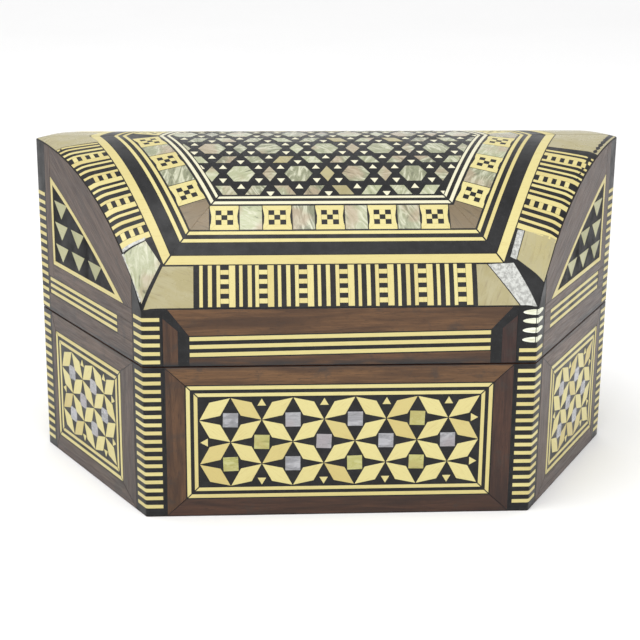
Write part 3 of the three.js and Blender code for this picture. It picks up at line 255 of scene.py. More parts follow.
cast_zinc = metal_finish("cast_zinc", shade(158, 158, 156), shade(112, 112, 110), 0.38)
comb_steel = metal_finish("comb_steel", shade(198, 202, 208), shade(150, 154, 160), 0.16)
blued_steel = metal_finish("blued_spring", shade(74, 84, 108), shade(52, 54, 62), 0.25)
bright_brass = metal_finish("bright_brass", shade(220, 194, 130), shade(182, 152, 98), 0.18)
refinish(cast_zinc, "bedplate")
refinish(comb_steel, "comb")
refinish(blued_steel, "mainspring", "click")
refinish(bright_brass, "cylinder", "governor_wheel", "air_brake", "governor_frame")
refinish(rolled_brass, "barrel", "winding_key", "cover_screw_1", "cover_screw_2")
refinish(drawn_steel, "bed_screw_1", "bed_screw_2", "comb_screw_1", "comb_screw_2", "winding_arbor",
         "ratchet_wheel", "cylinder_arbor", "stop_lever", "stop_plunger")


# ---- Clear cover ---------------------------------------------------------------------------------
# A sheet of clear acrylic screwed on the ledge, so that the movement can be seen working. It is a little
# scuffed where fingers have wiped it.

clear_cover, tree, shader = new_finish("clear_acrylic", Base_Color=shade(240, 248, 248), IOR=1.49,
                                       Transmission_Weight=1.0, Metallic=0.0)
scuffs = noise(tree, place_on_box(tree), 0.12, 5.0, 0.7)
tree.links.new(spread(tree, scuffs, 0.45, 0.8, 0.02, 0.14), shader["Roughness"])
refinish(clear_cover, "movement_cover")


# ---- Wall veneer ---------------------------------------------------------------------------------
# Thin strips of walnut glued on a black ground round each inlay, mitred at its corners. Every strip is
# cut from another place in the sheet, and the glue lines between them have turned black.

HALF_WIDTH, HALF_DEPTH, CREST = np.array(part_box("vault_border")[1]) / MM
HALF_FRONT = HALF_WIDTH - HALF_DEPTH / math.sqrt(3)
BASE_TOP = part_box("base_wall_front")[1].z / MM
LID_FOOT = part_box("lid_wall_front")[0].z / MM
VAULT_RISE = 31.4
PATTERN_RADIUS = 56.0
VAULT_RADIUS = (HALF_DEPTH ** 2 + VAULT_RISE ** 2) / (2 * VAULT_RISE)
VAULT_CENTRE = CREST - VAULT_RADIUS
SKIN = 0.15
ARRIS_WIDTH, ARRIS_DROP = 3.0, 0.7
HINGE_Y, HINGE_Z = [(low + high) / 2 / MM for low, high in zip(*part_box("hinge_pin"))][1:]
HALF_GROOVE = math.radians(50.5)
HINGE_SLOPE = math.tan(HALF_GROOVE)
BEVEL_RISE = (HALF_DEPTH - HINGE_Y) * HINGE_SLOPE
GROUND = -0.05
EASE = 0.05
SMOOTH_ANGLE = math.radians(25)
SHEET_SIZE = 400
CORNERS = np.array([[-HALF_FRONT, -HALF_DEPTH], [HALF_FRONT, -HALF_DEPTH], [HALF_WIDTH, 0],
                    [HALF_FRONT, HALF_DEPTH], [-HALF_FRONT, HALF_DEPTH], [-HALF_WIDTH, 0]])
EDGES = np.roll(CORNERS, -1, axis=0) - CORNERS
LENGTHS = np.hypot(*EDGES.T)
ALONG = EDGES / LENGTHS[:, None]
OUTWARD = np.stack([ALONG[:, 1], -ALONG[:, 0]], axis=1)
dice = np.random.default_rng(18)


def worn(x, y):
    """How far the vault's slanted edges are rubbed down: D (1 - e / W)^2 within W of the edge, where
    e = (half width - |x| - |y| / tan 60) sin 60."""
    e = (HALF_WIDTH - np.abs(x) - np.abs(y) / math.sqrt(3)) * math.sin(math.pi / 3)
    return ARRIS_DROP * np.clip(1 - e / ARRIS_WIDTH, 0, 1) ** 2


def edge_height(y):
    """The vault's height at its slanted edge: centre + (R^2 - y^2)^0.5, less the wear."""
    return VAULT_CENTRE + np.sqrt(VAULT_RADIUS ** 2 - y ** 2) - ARRIS_DROP


def on_wall(wall):
    """Places (a, z, h) on a wall: its first corner + a along its foot + z up + h outwards."""
    def place(a, z, h):
        """The wall's places as points."""
        plan = CORNERS[wall] + a[:, None] * ALONG[wall] + h[:, None] * OUTWARD[wall]
        return np.column_stack([plan, z])
    return place


def inset(rings, gap):
    """Closed outlines moved in: each corner goes gap (n + m) / (1 + n.m), with n and m the inward normals
    of its two edges."""
    before = rings - np.roll(rings, 1, axis=1)
    after = np.roll(rings, -1, axis=1) - rings
    n, m = [np.stack([-edge[..., 1], edge[..., 0]], -1) / np.linalg.norm(edge, axis=-1, keepdims=True)
            for edge in (before, after)]
    return rings + gap * (n + m) / (1 + (n * m).sum(-1, keepdims=True))


def tile(outline, tone=0.5, grain=0.0, is_strip=False):
    """One flat piece: its outline, how pale it is, the angle of its grain, and whether it is a strip, whose
    outline goes along one side and comes back along the other with as many corners."""
    ring = np.asarray(outline, float)
    ahead = np.roll(ring, -1, axis=0)
    area = (ring[:, 0] * ahead[:, 1] - ring[:, 1] * ahead[:, 0]).sum()
    return (ring if area > 0 else ring[::-1], tone, grain, is_strip)


def strip(near, far, tone=0.5, grain=0.0):
    """A piece between two lines with as many points each."""
    return tile(np.concatenate([near, np.asarray(far)[::-1]]), tone, grain, is_strip=True)


def beside_hinge(points, body):
    """Points behind the hinge's axis kept out of the groove between lid and base: |z - hinge z| is at least
    (y - hinge y) tan of half the groove's angle."""
    reach = np.maximum(points[:, 1] - HINGE_Y, 0) * HINGE_SLOPE
    if body == "base":
        return np.column_stack([points[:, :2], np.minimum(points[:, 2], HINGE_Z - reach)])
    return np.column_stack([points[:, :2], np.maximum(points[:, 2], HINGE_Z + reach)])


def lay(name, tiles, place, body, material, top=0.0, foot=-SKIN, ease=EASE):
    """Pieces of veneer or inlay as one mesh. Each is an outline from foot to top, with its upper edge eased
    by a small chamfer; a crown is a fan round the middle, or for a strip a row of quads across it. The
    attribute cut holds each point's place along and across the grain, and the piece's tone."""
    points, cuts, faces, start = [], [], [], 0
    kinds = sorted({(len(ring), is_strip) for ring, _, _, is_strip in tiles})
    for count, is_strip in kinds:
        same = [one for one in tiles if (len(one[0]), one[3]) == (count, is_strip)]
        rings = np.array([one[0] for one in same])
        tone, grain = np.array([one[1] for one in same]), np.array([one[2] for one in same])
        crown = inset(rings, ease)
        middle = rings.mean(axis=1, keepdims=True)
        layers = [(rings, foot), (rings, top - ease), (crown, top)] + ([] if is_strip else [(middle, top)])
        flat = np.concatenate([ring for ring, _ in layers], axis=1)
        height = np.concatenate([np.full(ring.shape[:2], level) for ring, level in layers], axis=1)
        local = flat - middle
        cos, sin = np.cos(grain)[:, None], np.sin(grain)[:, None]
        origin = dice.uniform(0, SHEET_SIZE, (len(same), 2))
        cuts.append(np.stack([cos * local[..., 0] + sin * local[..., 1] + origin[:, :1],
                              cos * local[..., 1] - sin * local[..., 0] + origin[:, 1:],
                              np.broadcast_to(tone[:, None], height.shape)], -1).reshape(-1, 3))
        points.append(np.column_stack([flat.reshape(-1, 2), height.reshape(-1)]))
        i = np.arange(count)
        j = (i + 1) % count
        sides = [np.stack([i + low, j + low, j + low + count, i + low + count], 1) for low in (0, count)]
        half = np.arange(count // 2 - 1)
        if is_strip:
            across = np.stack([half, half + 1, count - 2 - half, count - 1 - half], 1)
            closing = [across + 2 * count, across[:, ::-1]]
        else:
            closing = [np.stack([i + 2 * count, j + 2 * count, np.full(count, 3 * count)], 1), i[None, ::-1]]
        each = start + height.shape[1] * np.arange(len(same))[:, None, None]
        for block in sides + closing:
            faces += (each + block).reshape(-1, block.shape[1]).tolist()
        start += height.size
    points = np.concatenate(points)
    placed = beside_hinge(place(*points.T), body)
    return solid_piece(name, placed, faces, body, material, np.concatenate(cuts))


def solid_piece(name, points, faces, body, material, cut=None):
    """Points in millimetres and their faces as an object that rides on a body. Faces that meet within
    SMOOTH_ANGLE are shaded as one surface."""
    mesh = bpy.data.meshes.new(name)
    mesh.from_pydata(points * MM, [], faces)
    if cut is not None:
        mesh.attributes.new("cut", "FLOAT_VECTOR", "POINT").data.foreach_set("vector", cut.ravel())
    mesh.shade_smooth()
    mesh.set_sharp_from_angle(angle=SMOOTH_ANGLE)
    mesh.materials.append(material)
    made = bpy.data.objects.new(name, mesh)
    bpy.context.scene.collection.objects.link(made)
    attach(made, body)
    return made


def mitred(outer, inner, gap=0.0, tones=(0.5,) * 4):
    """Four strips between an outer and an inner rectangle (left, right, low, high), mitred at the corners,
    with half a gap of ground at each mitre. Order: low, right, high, left."""
    (a0, a1, a2, a3), (b0, b1, b2, b3) = outer, inner
    g = gap / 2
    return [
        tile([[a0 + g, a2], [a1 - g, a2], [b1 - g, b2], [b0 + g, b2]], tones[0]),
        tile([[a1, a2 + g], [a1, a3 - g], [b1, b3 - g], [b1, b2 + g]], tones[1], math.pi / 2),
        tile([[a1 - g, a3], [a0 + g, a3], [b0 + g, b3], [b1 - g, b3]], tones[2]),
        tile([[a0, a3 - g], [a0, a2 + g], [b0, b2 + g], [b0, b3 - g]], tones[3], math.pi / 2)]


def cut_from(tree):
    """A point's place on the sheet that its piece was cut from, and the piece's tone."""
    cut = node(tree, "ShaderNodeAttribute", attribute_name="cut").outputs["Vector"]
    return cut, node(tree, "ShaderNodeSeparateXYZ", {0: cut}).outputs[2]


def veneer_material():
    """Polished old walnut: grain along each strip, paler or redder by its tone, grimy near the seam."""
    material, tree, shader = new_finish("walnut_veneer", Coat_Weight=0.12, Coat_Roughness=0.25,
                                        Specular_IOR_Level=0.35)
    cut, tone = cut_from(tree)
    place = place_on_box(tree)
    across, _, height = node(tree, "ShaderNodeSeparateXYZ", {0: place}).outputs
    off_middle = node(tree, "ShaderNodeMath", {0: across}, operation="ABSOLUTE").outputs[0]
    # Painted reflection: on the slanted walls the veneer's colours are mixed towards grey, standing in for
    # the pale surroundings that the glossy finish reflects at their angle to the light.
    slant_reflection_share = spread(tree, off_middle, HALF_FRONT - 1.0, HALF_FRONT + 0.6, 0.0, 0.75)
    light = mixed(tree, tone, shade(66, 40, 32), shade(116, 84, 52))
    dark = mixed(tree, tone, shade(40, 24, 21), shade(76, 53, 33))
    light, dark = mixed(tree, slant_reflection_share, light, shade(90, 76, 68)), mixed(tree, slant_reflection_share, dark, shade(62, 51, 46))
    grain = use_group(tree, timber_grain, {"Place": cut, "Light": light, "Dark": dark})
    smear = noise(tree, stretched(tree, place, 0.05, 0.05, 0.5), 1.0, 4.0, 0.6)
    above = spread(tree, height, LID_FOOT + 2.6, LID_FOOT + 0.2)
    below = spread(tree, height, BASE_TOP - 1.2, BASE_TOP - 0.1, 0, 0.5)
    only_lid = spread(tree, height, BASE_TOP, LID_FOOT)
    near = node(tree, "ShaderNodeMix", {0: only_lid, 2: below, 3: above}, data_type="FLOAT").outputs[0]
    stain = product(tree, spread(tree, smear, 0.36, 0.58), near)
    grime = spread(tree, noise(tree, place, 0.16, 4.0, 0.65, 0.4), 0.54, 0.72, 0, 0.55)
    smoked = mixed(tree, grime, grain["Colour"], shade(50, 46, 43))
    tree.links.new(mixed(tree, stain, smoked, shade(40, 38, 38)), shader["Base Color"])
    tree.links.new(grain["Roughness"], shader["Roughness"])
    uneven(tree, shader, 0.3, 0.04, grain["Height"])
    return material


def speck_group():
    """Dust and rubbing on a polished surface: a share of pale dust, a roughness and a height."""
    tree, takes, gives = new_group("rubbed_polish", [("Place", PLACE, None), ("Polish", VALUE, 0.25)],
                                   [("Dust", VALUE), ("Roughness", VALUE), ("Height", VALUE)])
    cloud = noise(tree, takes["Place"], 0.22, 4.0, 0.62)
    fine = noise(tree, takes["Place"], 3.5, 2.0)
    tree.links.new(spread(tree, fine, 0.62, 0.74), gives["Dust"])
    rough = total(tree, spread(tree, cloud, 0.35, 0.7, 0, 0.18), takes["Polish"])
    tree.links.new(rough, gives["Roughness"])
    tree.links.new(cloud, gives["Height"])
    return tree


rubbed_polish = speck_group()


def rubbed(tree, shader, polish):
    """The group's roughness given to a shader, with its dust and its height to use elsewhere."""
    surface = use_group(tree, rubbed_polish, {"Place": place_on_box(tree), "Polish": polish})
    tree.links.new(surface["Roughness"], shader["Roughness"])
    return surface


def ground_material():
    """Black mastic between the inlays, polished flush, faintly grey with age."""
    material, tree, shader = new_finish("black_ground", Specular_IOR_Level=0.35)
    surface = rubbed(tree, shader, 0.3)
    aged = spread(tree, noise(tree, place_on_box(tree), 0.5, 3.0), 0.35, 0.75)
    colour = mixed(tree, aged, shade(12, 12, 14), shade(28, 28, 30))
    dusty = product(tree, surface["Dust"], 0.12)
    tree.links.new(mixed(tree, dusty, colour, shade(120, 120, 116)), shader["Base Color"])
    uneven(tree, shader, 0.15, 0.08, surface["Height"])
    return material


walnut_veneer = veneer_material()
black_ground = ground_material()

BAND_REACH = 4.2
BAND_LINE = 1.1
GROUND_START = BAND_REACH + 0.6
GROUND_FOOT, GROUND_SEAM = 0.1, 0.02
SEAM_MARGIN = 0.12
FOOT_MARGIN = 0.3
FRAME_GAP = 0.3
GLUE_LINE = 0.25
PANEL_LOW, PANEL_HIGH = [corner.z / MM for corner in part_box("base_panel_front")]
PANEL_CORNER, PANEL_FRONT, PANEL_TIP = 10.2, 12.4, 7.5


def panel_rectangle(wall):
    """A base wall's panel: start and end along the wall, low and high. On a slanted wall it lies nearer the
    box's end corner."""
    first, last = [(PANEL_CORNER, PANEL_CORNER), (PANEL_FRONT, PANEL_TIP), (PANEL_TIP, PANEL_FRONT)][wall % 3]
    return first, LENGTHS[wall] - last, PANEL_LOW, PANEL_HIGH


for wall, name in enumerate(WALL_NAMES):
    length = LENGTHS[wall]
    panel = panel_rectangle(wall)
    whole = (GROUND_START, length - GROUND_START, GROUND_FOOT, BASE_TOP - GROUND_SEAM)
    lay(f"base_ground_{name}", mitred(whole, panel), on_wall(wall), "base", black_ground,
        top=GROUND)
    start = BAND_REACH + BAND_LINE
    frame_outside = (start, length - start, FOOT_MARGIN, BASE_TOP - SEAM_MARGIN)
    frame_inside = np.array(panel) + FRAME_GAP * np.array([-1, 1, -1, 1])
    frame_strips = mitred(frame_outside, frame_inside, GLUE_LINE, (0.15, 0.1, 0.85, 0.5))
    lay(f"base_veneer_{name}", frame_strips, on_wall(wall), "base", walnut_veneer)


# ---- Base panels ---------------------------------------------------------------------------------
# A plate let into each base wall, its face set with pale bone lozenges that meet in six-pointed stars, with
# small squares of pearl and triangles of bone between them, inside two bone lines.

LINE_OUT, LINE_GAP, LINE_IN, LINE_LAST = 0.95, 0.9, 0.9, 0.35
STAR_ROWS = 4
LOZENGE_HALF = 2.15
LOZENGE_TIP_GAP = 0.12
SQUARE_HALF = 1.85
TRIANGLE_SIDE = 2.1
TRIANGLE_EDGE_GAP = 1.45
LINE_MITRE = 0.4
PLATE_THICK, PLATE_EASE = 1.2, 0.02


def bone_material(name, deep, pale, pore):
    """Boiled bone: a faint grain, brown in the pores, dull where it is worn."""
    material, tree, shader = new_finish(name, Coat_Weight=0.1, Coat_Roughness=0.25)
    cut, tone = cut_from(tree)
    surface = rubbed(tree, shader, 0.34)
    base = mixed(tree, tone, deep, pale)
    streak = noise(tree, stretched(tree, cut, 0.25, 3.0, 0.0), 1.0, 3.0)
    streaked = mixed(tree, spread(tree, streak, 0.5, 0.8, 0, 0.4), base, pore)
    flecks = product(tree, surface["Dust"], 0.3)
    tree.links.new(mixed(tree, flecks, streaked, shade(160, 130, 80)), shader["Base Color"])
    uneven(tree, shader, 0.15, 0.04, streak)
    return material


def pearl_material(name, deep, green, pale, rosy, dull):
    """Mother-of-pearl: cloudy bands with pale and rosy places, each piece from another shell."""
    material, tree, shader = new_finish(name, Coat_Weight=0.3, Coat_Roughness=0.15)
    cut, tone = cut_from(tree)
    rubbed(tree, shader, 0.2)
    layers = noise(tree, stretched(tree, cut, 0.18, 0.6, 0.0), 1.0, 4.0, 0.6, 1.4)
    clouds = noise(tree, stretched(tree, cut, 0.1, 0.1, 0.0), 1.0, 2.0)
    body = mixed(tree, tone, deep, green)
    bright = mixed(tree, spread(tree, layers, 0.44, 0.66), body, pale)
    warm = mixed(tree, spread(tree, clouds, 0.48, 0.62, 0, 0.7), bright, rosy)
    banded = mixed(tree, spread(tree, layers, 0.42, 0.3, 0, 0.7), warm, dull)
    tree.links.new(banded, shader["Base Color"])
    uneven(tree, shader, 0.2, 0.08, layers)
    return material


yellow_bone = bone_material("yellow_bone", shade(190, 171, 104), shade(211, 200, 136), shade(176, 152, 90))
pale_bone = bone_material("pale_bone", shade(206, 200, 166), shade(222, 218, 190), shade(186, 176, 132))
river_pearl = pearl_material("river_pearl", shade(112, 114, 90), shade(172, 176, 140), shade(196, 196, 170),
                             shade(164, 144, 120), shade(84, 86, 68))
grey_pearl = pearl_material("grey_pearl", shade(126, 126, 130), shade(150, 150, 152), shade(168, 168, 172),
                            shade(146, 138, 140), shade(112, 114, 114))
golden_pearl = pearl_material("golden_pearl", shade(158, 156, 86), shade(176, 172, 104), shade(184, 182, 122),
                              shade(168, 156, 92), shade(128, 126, 70))


def mixed_tones(count, low, high):
    """Tones for pieces that weren't matched when they were cut."""
    return dice.uniform(low, high, count)


def lined_frame(rectangle):
    """Bone lines just inside a rectangle, and the rectangle that is left inside them."""
    outer = np.array(rectangle)
    shrink = np.array([1, -1, 1, -1])
    rects = [outer + shrink * depth for depth in np.cumsum([0, LINE_OUT, LINE_GAP, LINE_IN, LINE_LAST])]
    lines = mitred(rects[0], rects[1], LINE_MITRE, mixed_tones(4, 0.5, 0.9))
    lines += mitred(rects[2], rects[3], LINE_MITRE, mixed_tones(4, 0.5, 0.9))
    return lines, rects[4]


def lozenge(start, end, half, tone):
    """A rhomb between two points, with its short half diagonal."""
    start, end = np.asarray(start), np.asarray(end)
    along = end - start
    side = np.array([-along[1], along[0]]) / np.hypot(*along) * half
    short = along / np.hypot(*along) * LOZENGE_TIP_GAP
    middle = (start + end) / 2
    outline = [start + short, middle - side, end - short, middle + side]
    return tile(outline, tone, math.atan2(along[1], along[0]))


def pointed(x, y, side, turn, tone=0.8):
    """An equal-sided triangle round a point, its first corner at the angle turn."""
    angle = turn + np.arange(3) * 2 * math.pi / 3
    reach = side / math.sqrt(3)
    return tile(np.column_stack([x + reach * np.cos(angle), y + reach * np.sin(angle)]), tone)


def square_tile(x, y, half, tone, turn):
    """A square round a point, from half its side and its turn: corners at half sqrt(2) from the middle."""
    angle = turn + math.pi / 4 + np.arange(4) * math.pi / 2
    reach = half * math.sqrt(2)
    return tile(np.column_stack([x + reach * np.cos(angle), y + reach * np.sin(angle)]), tone, turn)


GOLDEN_SQUARES = {(1, 3), (2, 0), (3, 0), (3, 2), (3, 3)}


def star_pattern(rectangle, columns):
    """Lozenges on every diagonal link of a lattice of rows half a step apart, squares midway between
    neighbours in the inner rows, triangles against the edges. Returns bone, grey and golden pieces."""
    left, right, low, high = rectangle
    pitch = (right - left) / (columns - 0.5)
    rise = (high - low) / STAR_ROWS
    bone, grey, golden = [], [], []
    row_z = high - rise * np.arange(STAR_ROWS + 1)
    shift = [0.5 if row % 2 == 0 else 0.0 for row in range(STAR_ROWS + 1)]
    xs = [left + pitch * (np.arange(columns) + offset) for offset in shift]
    for row in range(STAR_ROWS):
        for x in xs[row]:
            for x2 in xs[row + 1][np.abs(np.abs(xs[row + 1] - x) - pitch / 2) < 0.1]:
                bone.append(lozenge((x, row_z[row]), (x2, row_z[row + 1]), LOZENGE_HALF,
                                    dice.choice([0.95, 0.8, 0.35, 0.2], p=[0.5, 0.25, 0.15, 0.1])))
    for row in range(1, STAR_ROWS):
        for column, x in enumerate((xs[row][:-1] + xs[row][1:]) / 2):
            square = square_tile(x, row_z[row], SQUARE_HALF, dice.uniform(0, 1), dice.uniform(-0.04, 0.04))
            (golden if columns > 3 and (row, column) in GOLDEN_SQUARES else grey).append(square)
    edge = TRIANGLE_EDGE_GAP
    for x in left + pitch * np.arange(1, columns):
        bone.append(pointed(x, high - edge, TRIANGLE_SIDE, math.pi / 2))
        bone.append(pointed(x, low + edge, TRIANGLE_SIDE, -math.pi / 2))
    bone.append(pointed(left + edge, row_z[2], TRIANGLE_SIDE, math.pi))
    bone += [pointed(right - edge, row_z[row], TRIANGLE_SIDE, 0.0) for row in (1, 3)]
    return bone, grey, golden


for wall, name in enumerate(WALL_NAMES):
    panel = panel_rectangle(wall)
    lines, inside = lined_frame(panel)
    bone, grey, golden = star_pattern(inside, 5 if name in ("front", "back") else 3)
    left, right, low, high = panel
    plate = lay(f"panel_ground_{name}", [tile([[left, low], [right, low], [right, high], [left, high]])],
                on_wall(wall), "base", black_ground, top=GROUND, foot=-PLATE_THICK, ease=PLATE_EASE)
    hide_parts(f"base_panel_{name}")
    lay(f"panel_bone_{name}", lines + bone, on_wall(wall), "base", yellow_bone)
    lay(f"panel_grey_pearl_{name}", grey, on_wall(wall), "base", grey_pearl)
    if golden:
        lay(f"panel_golden_pearl_{name}", golden, on_wall(wall), "base", golden_pearl)


# ---- Corner banding ------------------------------------------------------------------------------
# Short strips of bone laid across every upright corner like the rungs of a ladder, bent round it. One lid
# corner has lost its upper strips, and they have been painted back in as white ovals.

CORNER_RADIUS = 0.8
CORNER_ARC = CORNER_RADIUS * math.pi / 6
BAND_PITCH = 2.15
BAND_WIDTH = 0.95
BASE_BAND_FOOT = 2.3
LID_BAND_FOOT = LID_FOOT + 0.6
BASE_RUNGS, LID_RUNGS, END_LID_RUNGS = 17, 6, 15
CORNER_NAMES = ["front_left", "front_right", "right_end", "back_right", "back_left", "left_end"]
RUNG_TILT = 0.06
OVALS_Z = (45.2, 47.6, 50.0, 52.2)
COVER_FOOT = -0.2
COVER_DROP = 0.1


def round_corner(corner):
    """Places (w, z, h) across a corner: w is measured round it, along one wall up to the tangent point, over
    an arc of 60 degrees, and on along the next."""
    before, after = ALONG[corner - 1], ALONG[corner]
    bisector = OUTWARD[corner - 1] + OUTWARD[corner]
    bisector /= np.hypot(*bisector)
    across = before + after
    across /= np.hypot(*across)
    centre = CORNERS[corner] - bisector * CORNER_RADIUS / math.cos(math.pi / 6)

    def place(w, z, h):
        """The corner's places as points, the turn being 30 degrees at the end of the arc."""
        turn = np.clip(w / CORNER_ARC, -1, 1) * math.pi / 6
        reach = CORNER_RADIUS + h
        plan = centre + reach[:, None] * (np.cos(turn)[:, None] * bisector + np.sin(turn)[:, None] * across)
        beyond = np.sign(w) * np.maximum(np.abs(w) - CORNER_ARC, 0)
        plan += np.where(w < 0, beyond, 0)[:, None] * before + np.where(w > 0, beyond, 0)[:, None] * after
        return np.column_stack([plan, z])
    return place


HALF_ACROSS = np.array([CORNER_ARC / 2, CORNER_ARC, 2.2, BAND_REACH])
ACROSS = np.concatenate([-HALF_ACROSS[::-1], [0], HALF_ACROSS])


def rung(z, width, tone):
    """A strip bent round the corner at a height, one end a little higher than the other."""
    lift = dice.uniform(-RUNG_TILT, RUNG_TILT, 2)
    foot = z + np.linspace(lift[0], lift[1], len(ACROSS))
    return strip(np.column_stack([ACROSS, foot]), np.column_stack([ACROSS, foot + width]), tone)


def oval(z, reach, half):
    """A painted oval: heights z - and + half (1 - (w / reach)^2)^0.5."""
    w = reach * np.sin(np.linspace(-1, 1, 15) * math.pi / 2 * 0.97)
    lift = half * np.sqrt(1 - (w / reach) ** 2)
    return strip(np.column_stack([w, z - lift]), np.column_stack([w, z + lift]), 1.0)


def corner_cover(place, low, high):
    """The black ground under a corner's strips, up to a height, or up to just under the vault's edge."""
    wide = np.concatenate([[-GROUND_START], ACROSS[1:-1], [GROUND_START]])
    y = np.minimum(np.abs(place(wide, 0 * wide, 0 * wide)[:, 1]), HALF_DEPTH)
    worn_away = np.where(y > HALF_DEPTH - COVER_DROP, 0, ARRIS_DROP)
    top = np.minimum(edge_height(y) + ARRIS_DROP - worn_away - COVER_DROP, high)
    return strip(np.column_stack([wide, np.full(len(wide), low)]), np.column_stack([wide, top]))


white_paint, tree, shader = new_finish("white_paint")
brushed = noise(tree, stretched(tree, place_on_box(tree), 0.4, 0.4, 3.0), 1.0, 3.0)
tree.links.new(mixed(tree, spread(tree, brushed, 0.3, 0.7), shade(206, 206, 176), shade(240, 242, 226)),
               shader["Base Color"])
tree.links.new(spread(tree, brushed, 0.3, 0.7, 0.4, 0.6), shader["Roughness"])

for corner, label in enumerate(CORNER_NAMES):
    place = round_corner(corner)
    base_z = BASE_BAND_FOOT + BAND_PITCH * np.arange(BASE_RUNGS)
    lid_z = LID_BAND_FOOT + BAND_PITCH * np.arange(END_LID_RUNGS if label.endswith("end") else LID_RUNGS)
    if label.startswith("back"):
        base_z = base_z[base_z + BAND_WIDTH < HINGE_Z - BEVEL_RISE]
        lid_z = lid_z[lid_z > HINGE_Z + BEVEL_RISE]
    if label == "front_right":
        lid_z = lid_z[:2]
        lay("lid_painted_ovals", [oval(z, 3.6, 0.72) for z in OVALS_Z], place, "lid", white_paint)
    for body, zs in (("base", base_z), ("lid", lid_z)):
        rungs = [rung(z, BAND_WIDTH, tone) for z, tone in zip(zs, mixed_tones(len(zs), 0.4, 0.9))]
        lay(f"{body}_band_{label}", rungs, place, body, yellow_bone)
    for body, low, high in (("base", GROUND_FOOT, BASE_TOP - GROUND_SEAM),
                            ("lid", LID_FOOT + GROUND_SEAM, CREST)):
        lay(f"{body}_corner_{label}", [corner_cover(place, low, high)], place, body, black_ground,
            top=GROUND, foot=COVER_FOOT)


# ---- Lid front and back --------------------------------------------------------------------------
# Low walls with three bone lines let into a black bed, framed by walnut mitred at the ends.

LID_TOP = CREST - VAULT_RISE
LINE_WIDTH, LINES_Z = 1.0, (41.7, 43.7, 45.7)
LINES_TILT = 1.0
LINES_START = 11.3
RAIL_GAP = 0.1
LOW_RAIL_TOP, HIGH_RAIL_FOOT = 41.4, 47.0
STILE_START, STILE_END, STILE_MITRE = 5.0, 8.5, 1.2
STILE_TOPS = (51.4, 48.2)


for wall in (0, 3):
    name, length = WALL_NAMES[wall], LENGTHS[wall]
    first, last = LINES_START, length - LINES_START
    ground_low, ground_high = LID_FOOT + GROUND_SEAM, LID_TOP - COVER_DROP
    lay(f"lid_ground_{name}", [tile([[GROUND_START, ground_low], [length - GROUND_START, ground_low],
                                     [length - GROUND_START, ground_high], [GROUND_START, ground_high]])],
        on_wall(wall), "lid", black_ground, top=GROUND)
    lines = [tile([[first, z], [last, z + LINES_TILT], [last, z + LINES_TILT + LINE_WIDTH],
                   [first, z + LINE_WIDTH]], 0.7) for z in LINES_Z]
    lay(f"lid_lines_{name}", lines, on_wall(wall), "lid", yellow_bone)
    top, low = LID_TOP - SEAM_MARGIN, LID_FOOT + SEAM_MARGIN
    first, last = first - RAIL_GAP, last + RAIL_GAP
    high_rail = tile([[first, HIGH_RAIL_FOOT], [last, HIGH_RAIL_FOOT + LINES_TILT],
                      [length - STILE_START - STILE_MITRE, top], [STILE_START + STILE_MITRE, top]], 0.7)
    low_rail = tile([[first, low], [last, low], [last, LOW_RAIL_TOP + LINES_TILT], [first, LOW_RAIL_TOP]],
                    0.55)
    left_stile = np.array([[STILE_START, low], [STILE_END, low], [STILE_END, STILE_TOPS[1]],
                           [STILE_START, STILE_TOPS[0]]])
    right_stile = ([length, 0] + left_stile * [-1, 1])[[1, 0, 3, 2]]
    stiles = [tile(left_stile, 0.35, math.pi / 2), tile(right_stile, 0.0, math.pi / 2)]
    rails = [high_rail] if name == "back" else [high_rail, low_rail]
    lay(f"lid_veneer_{name}", rails + stiles, on_wall(wall), "lid", walnut_veneer)


# ---- Lid slanted walls ---------------------------------------------------------------------------
# Their tops follow the vault. A black triangle edged with bone holds six small bone triangles, points down,
# and three bone lines run below it.

TALL_MARGIN, TIP_MARGIN = 8.0, 9.5
TRIANGLE_LOW, TRIANGLE_HIGH = 52.7, 76.0
TRIANGLE_BULGE = 1.2
TRIANGLE_EDGE, TIP_EDGE, APEX_EDGE = 1.1, 4.2, 2.0
SMALL_ROWS = ((70.2, 1), (64.6, 2), (58.8, 3))
SMALL_START, SMALL_PITCH = 2.0, 9.4
SMALL_OUTLINE = np.array([[0, 0], [7.4, 0], [3.9, -4.2]])
FRONT_LINES_Z, BACK_LINES_Z = (44.4, 46.1, 47.8), (45.4, 47.3, 49.2)
SIDE_LINE_WIDTH = 0.9
LINE_SPAN = (5.6, 44.0)
POST_START = BAND_REACH + 0.7
WOOD_GAP = 0.12
olive_bone = bone_material("olive_bone", shade(150, 150, 108), shade(178, 176, 132), shade(130, 128, 88))


def vault_height(wall, a):
    """The vault's height over a place a along a wall."""
    return edge_height(CORNERS[wall][1] + a * ALONG[wall][1])


def bowed(start, end, bulge, count=9):
    """Points from start to end on a shallow arch: the straight line + 4 bulge t (1 - t) upwards."""
    t = np.linspace(0, 1, count)[:, None]
    return np.asarray(start) + (np.asarray(end) - start) * t + [0, 1] * (4 * bulge * t * (1 - t))


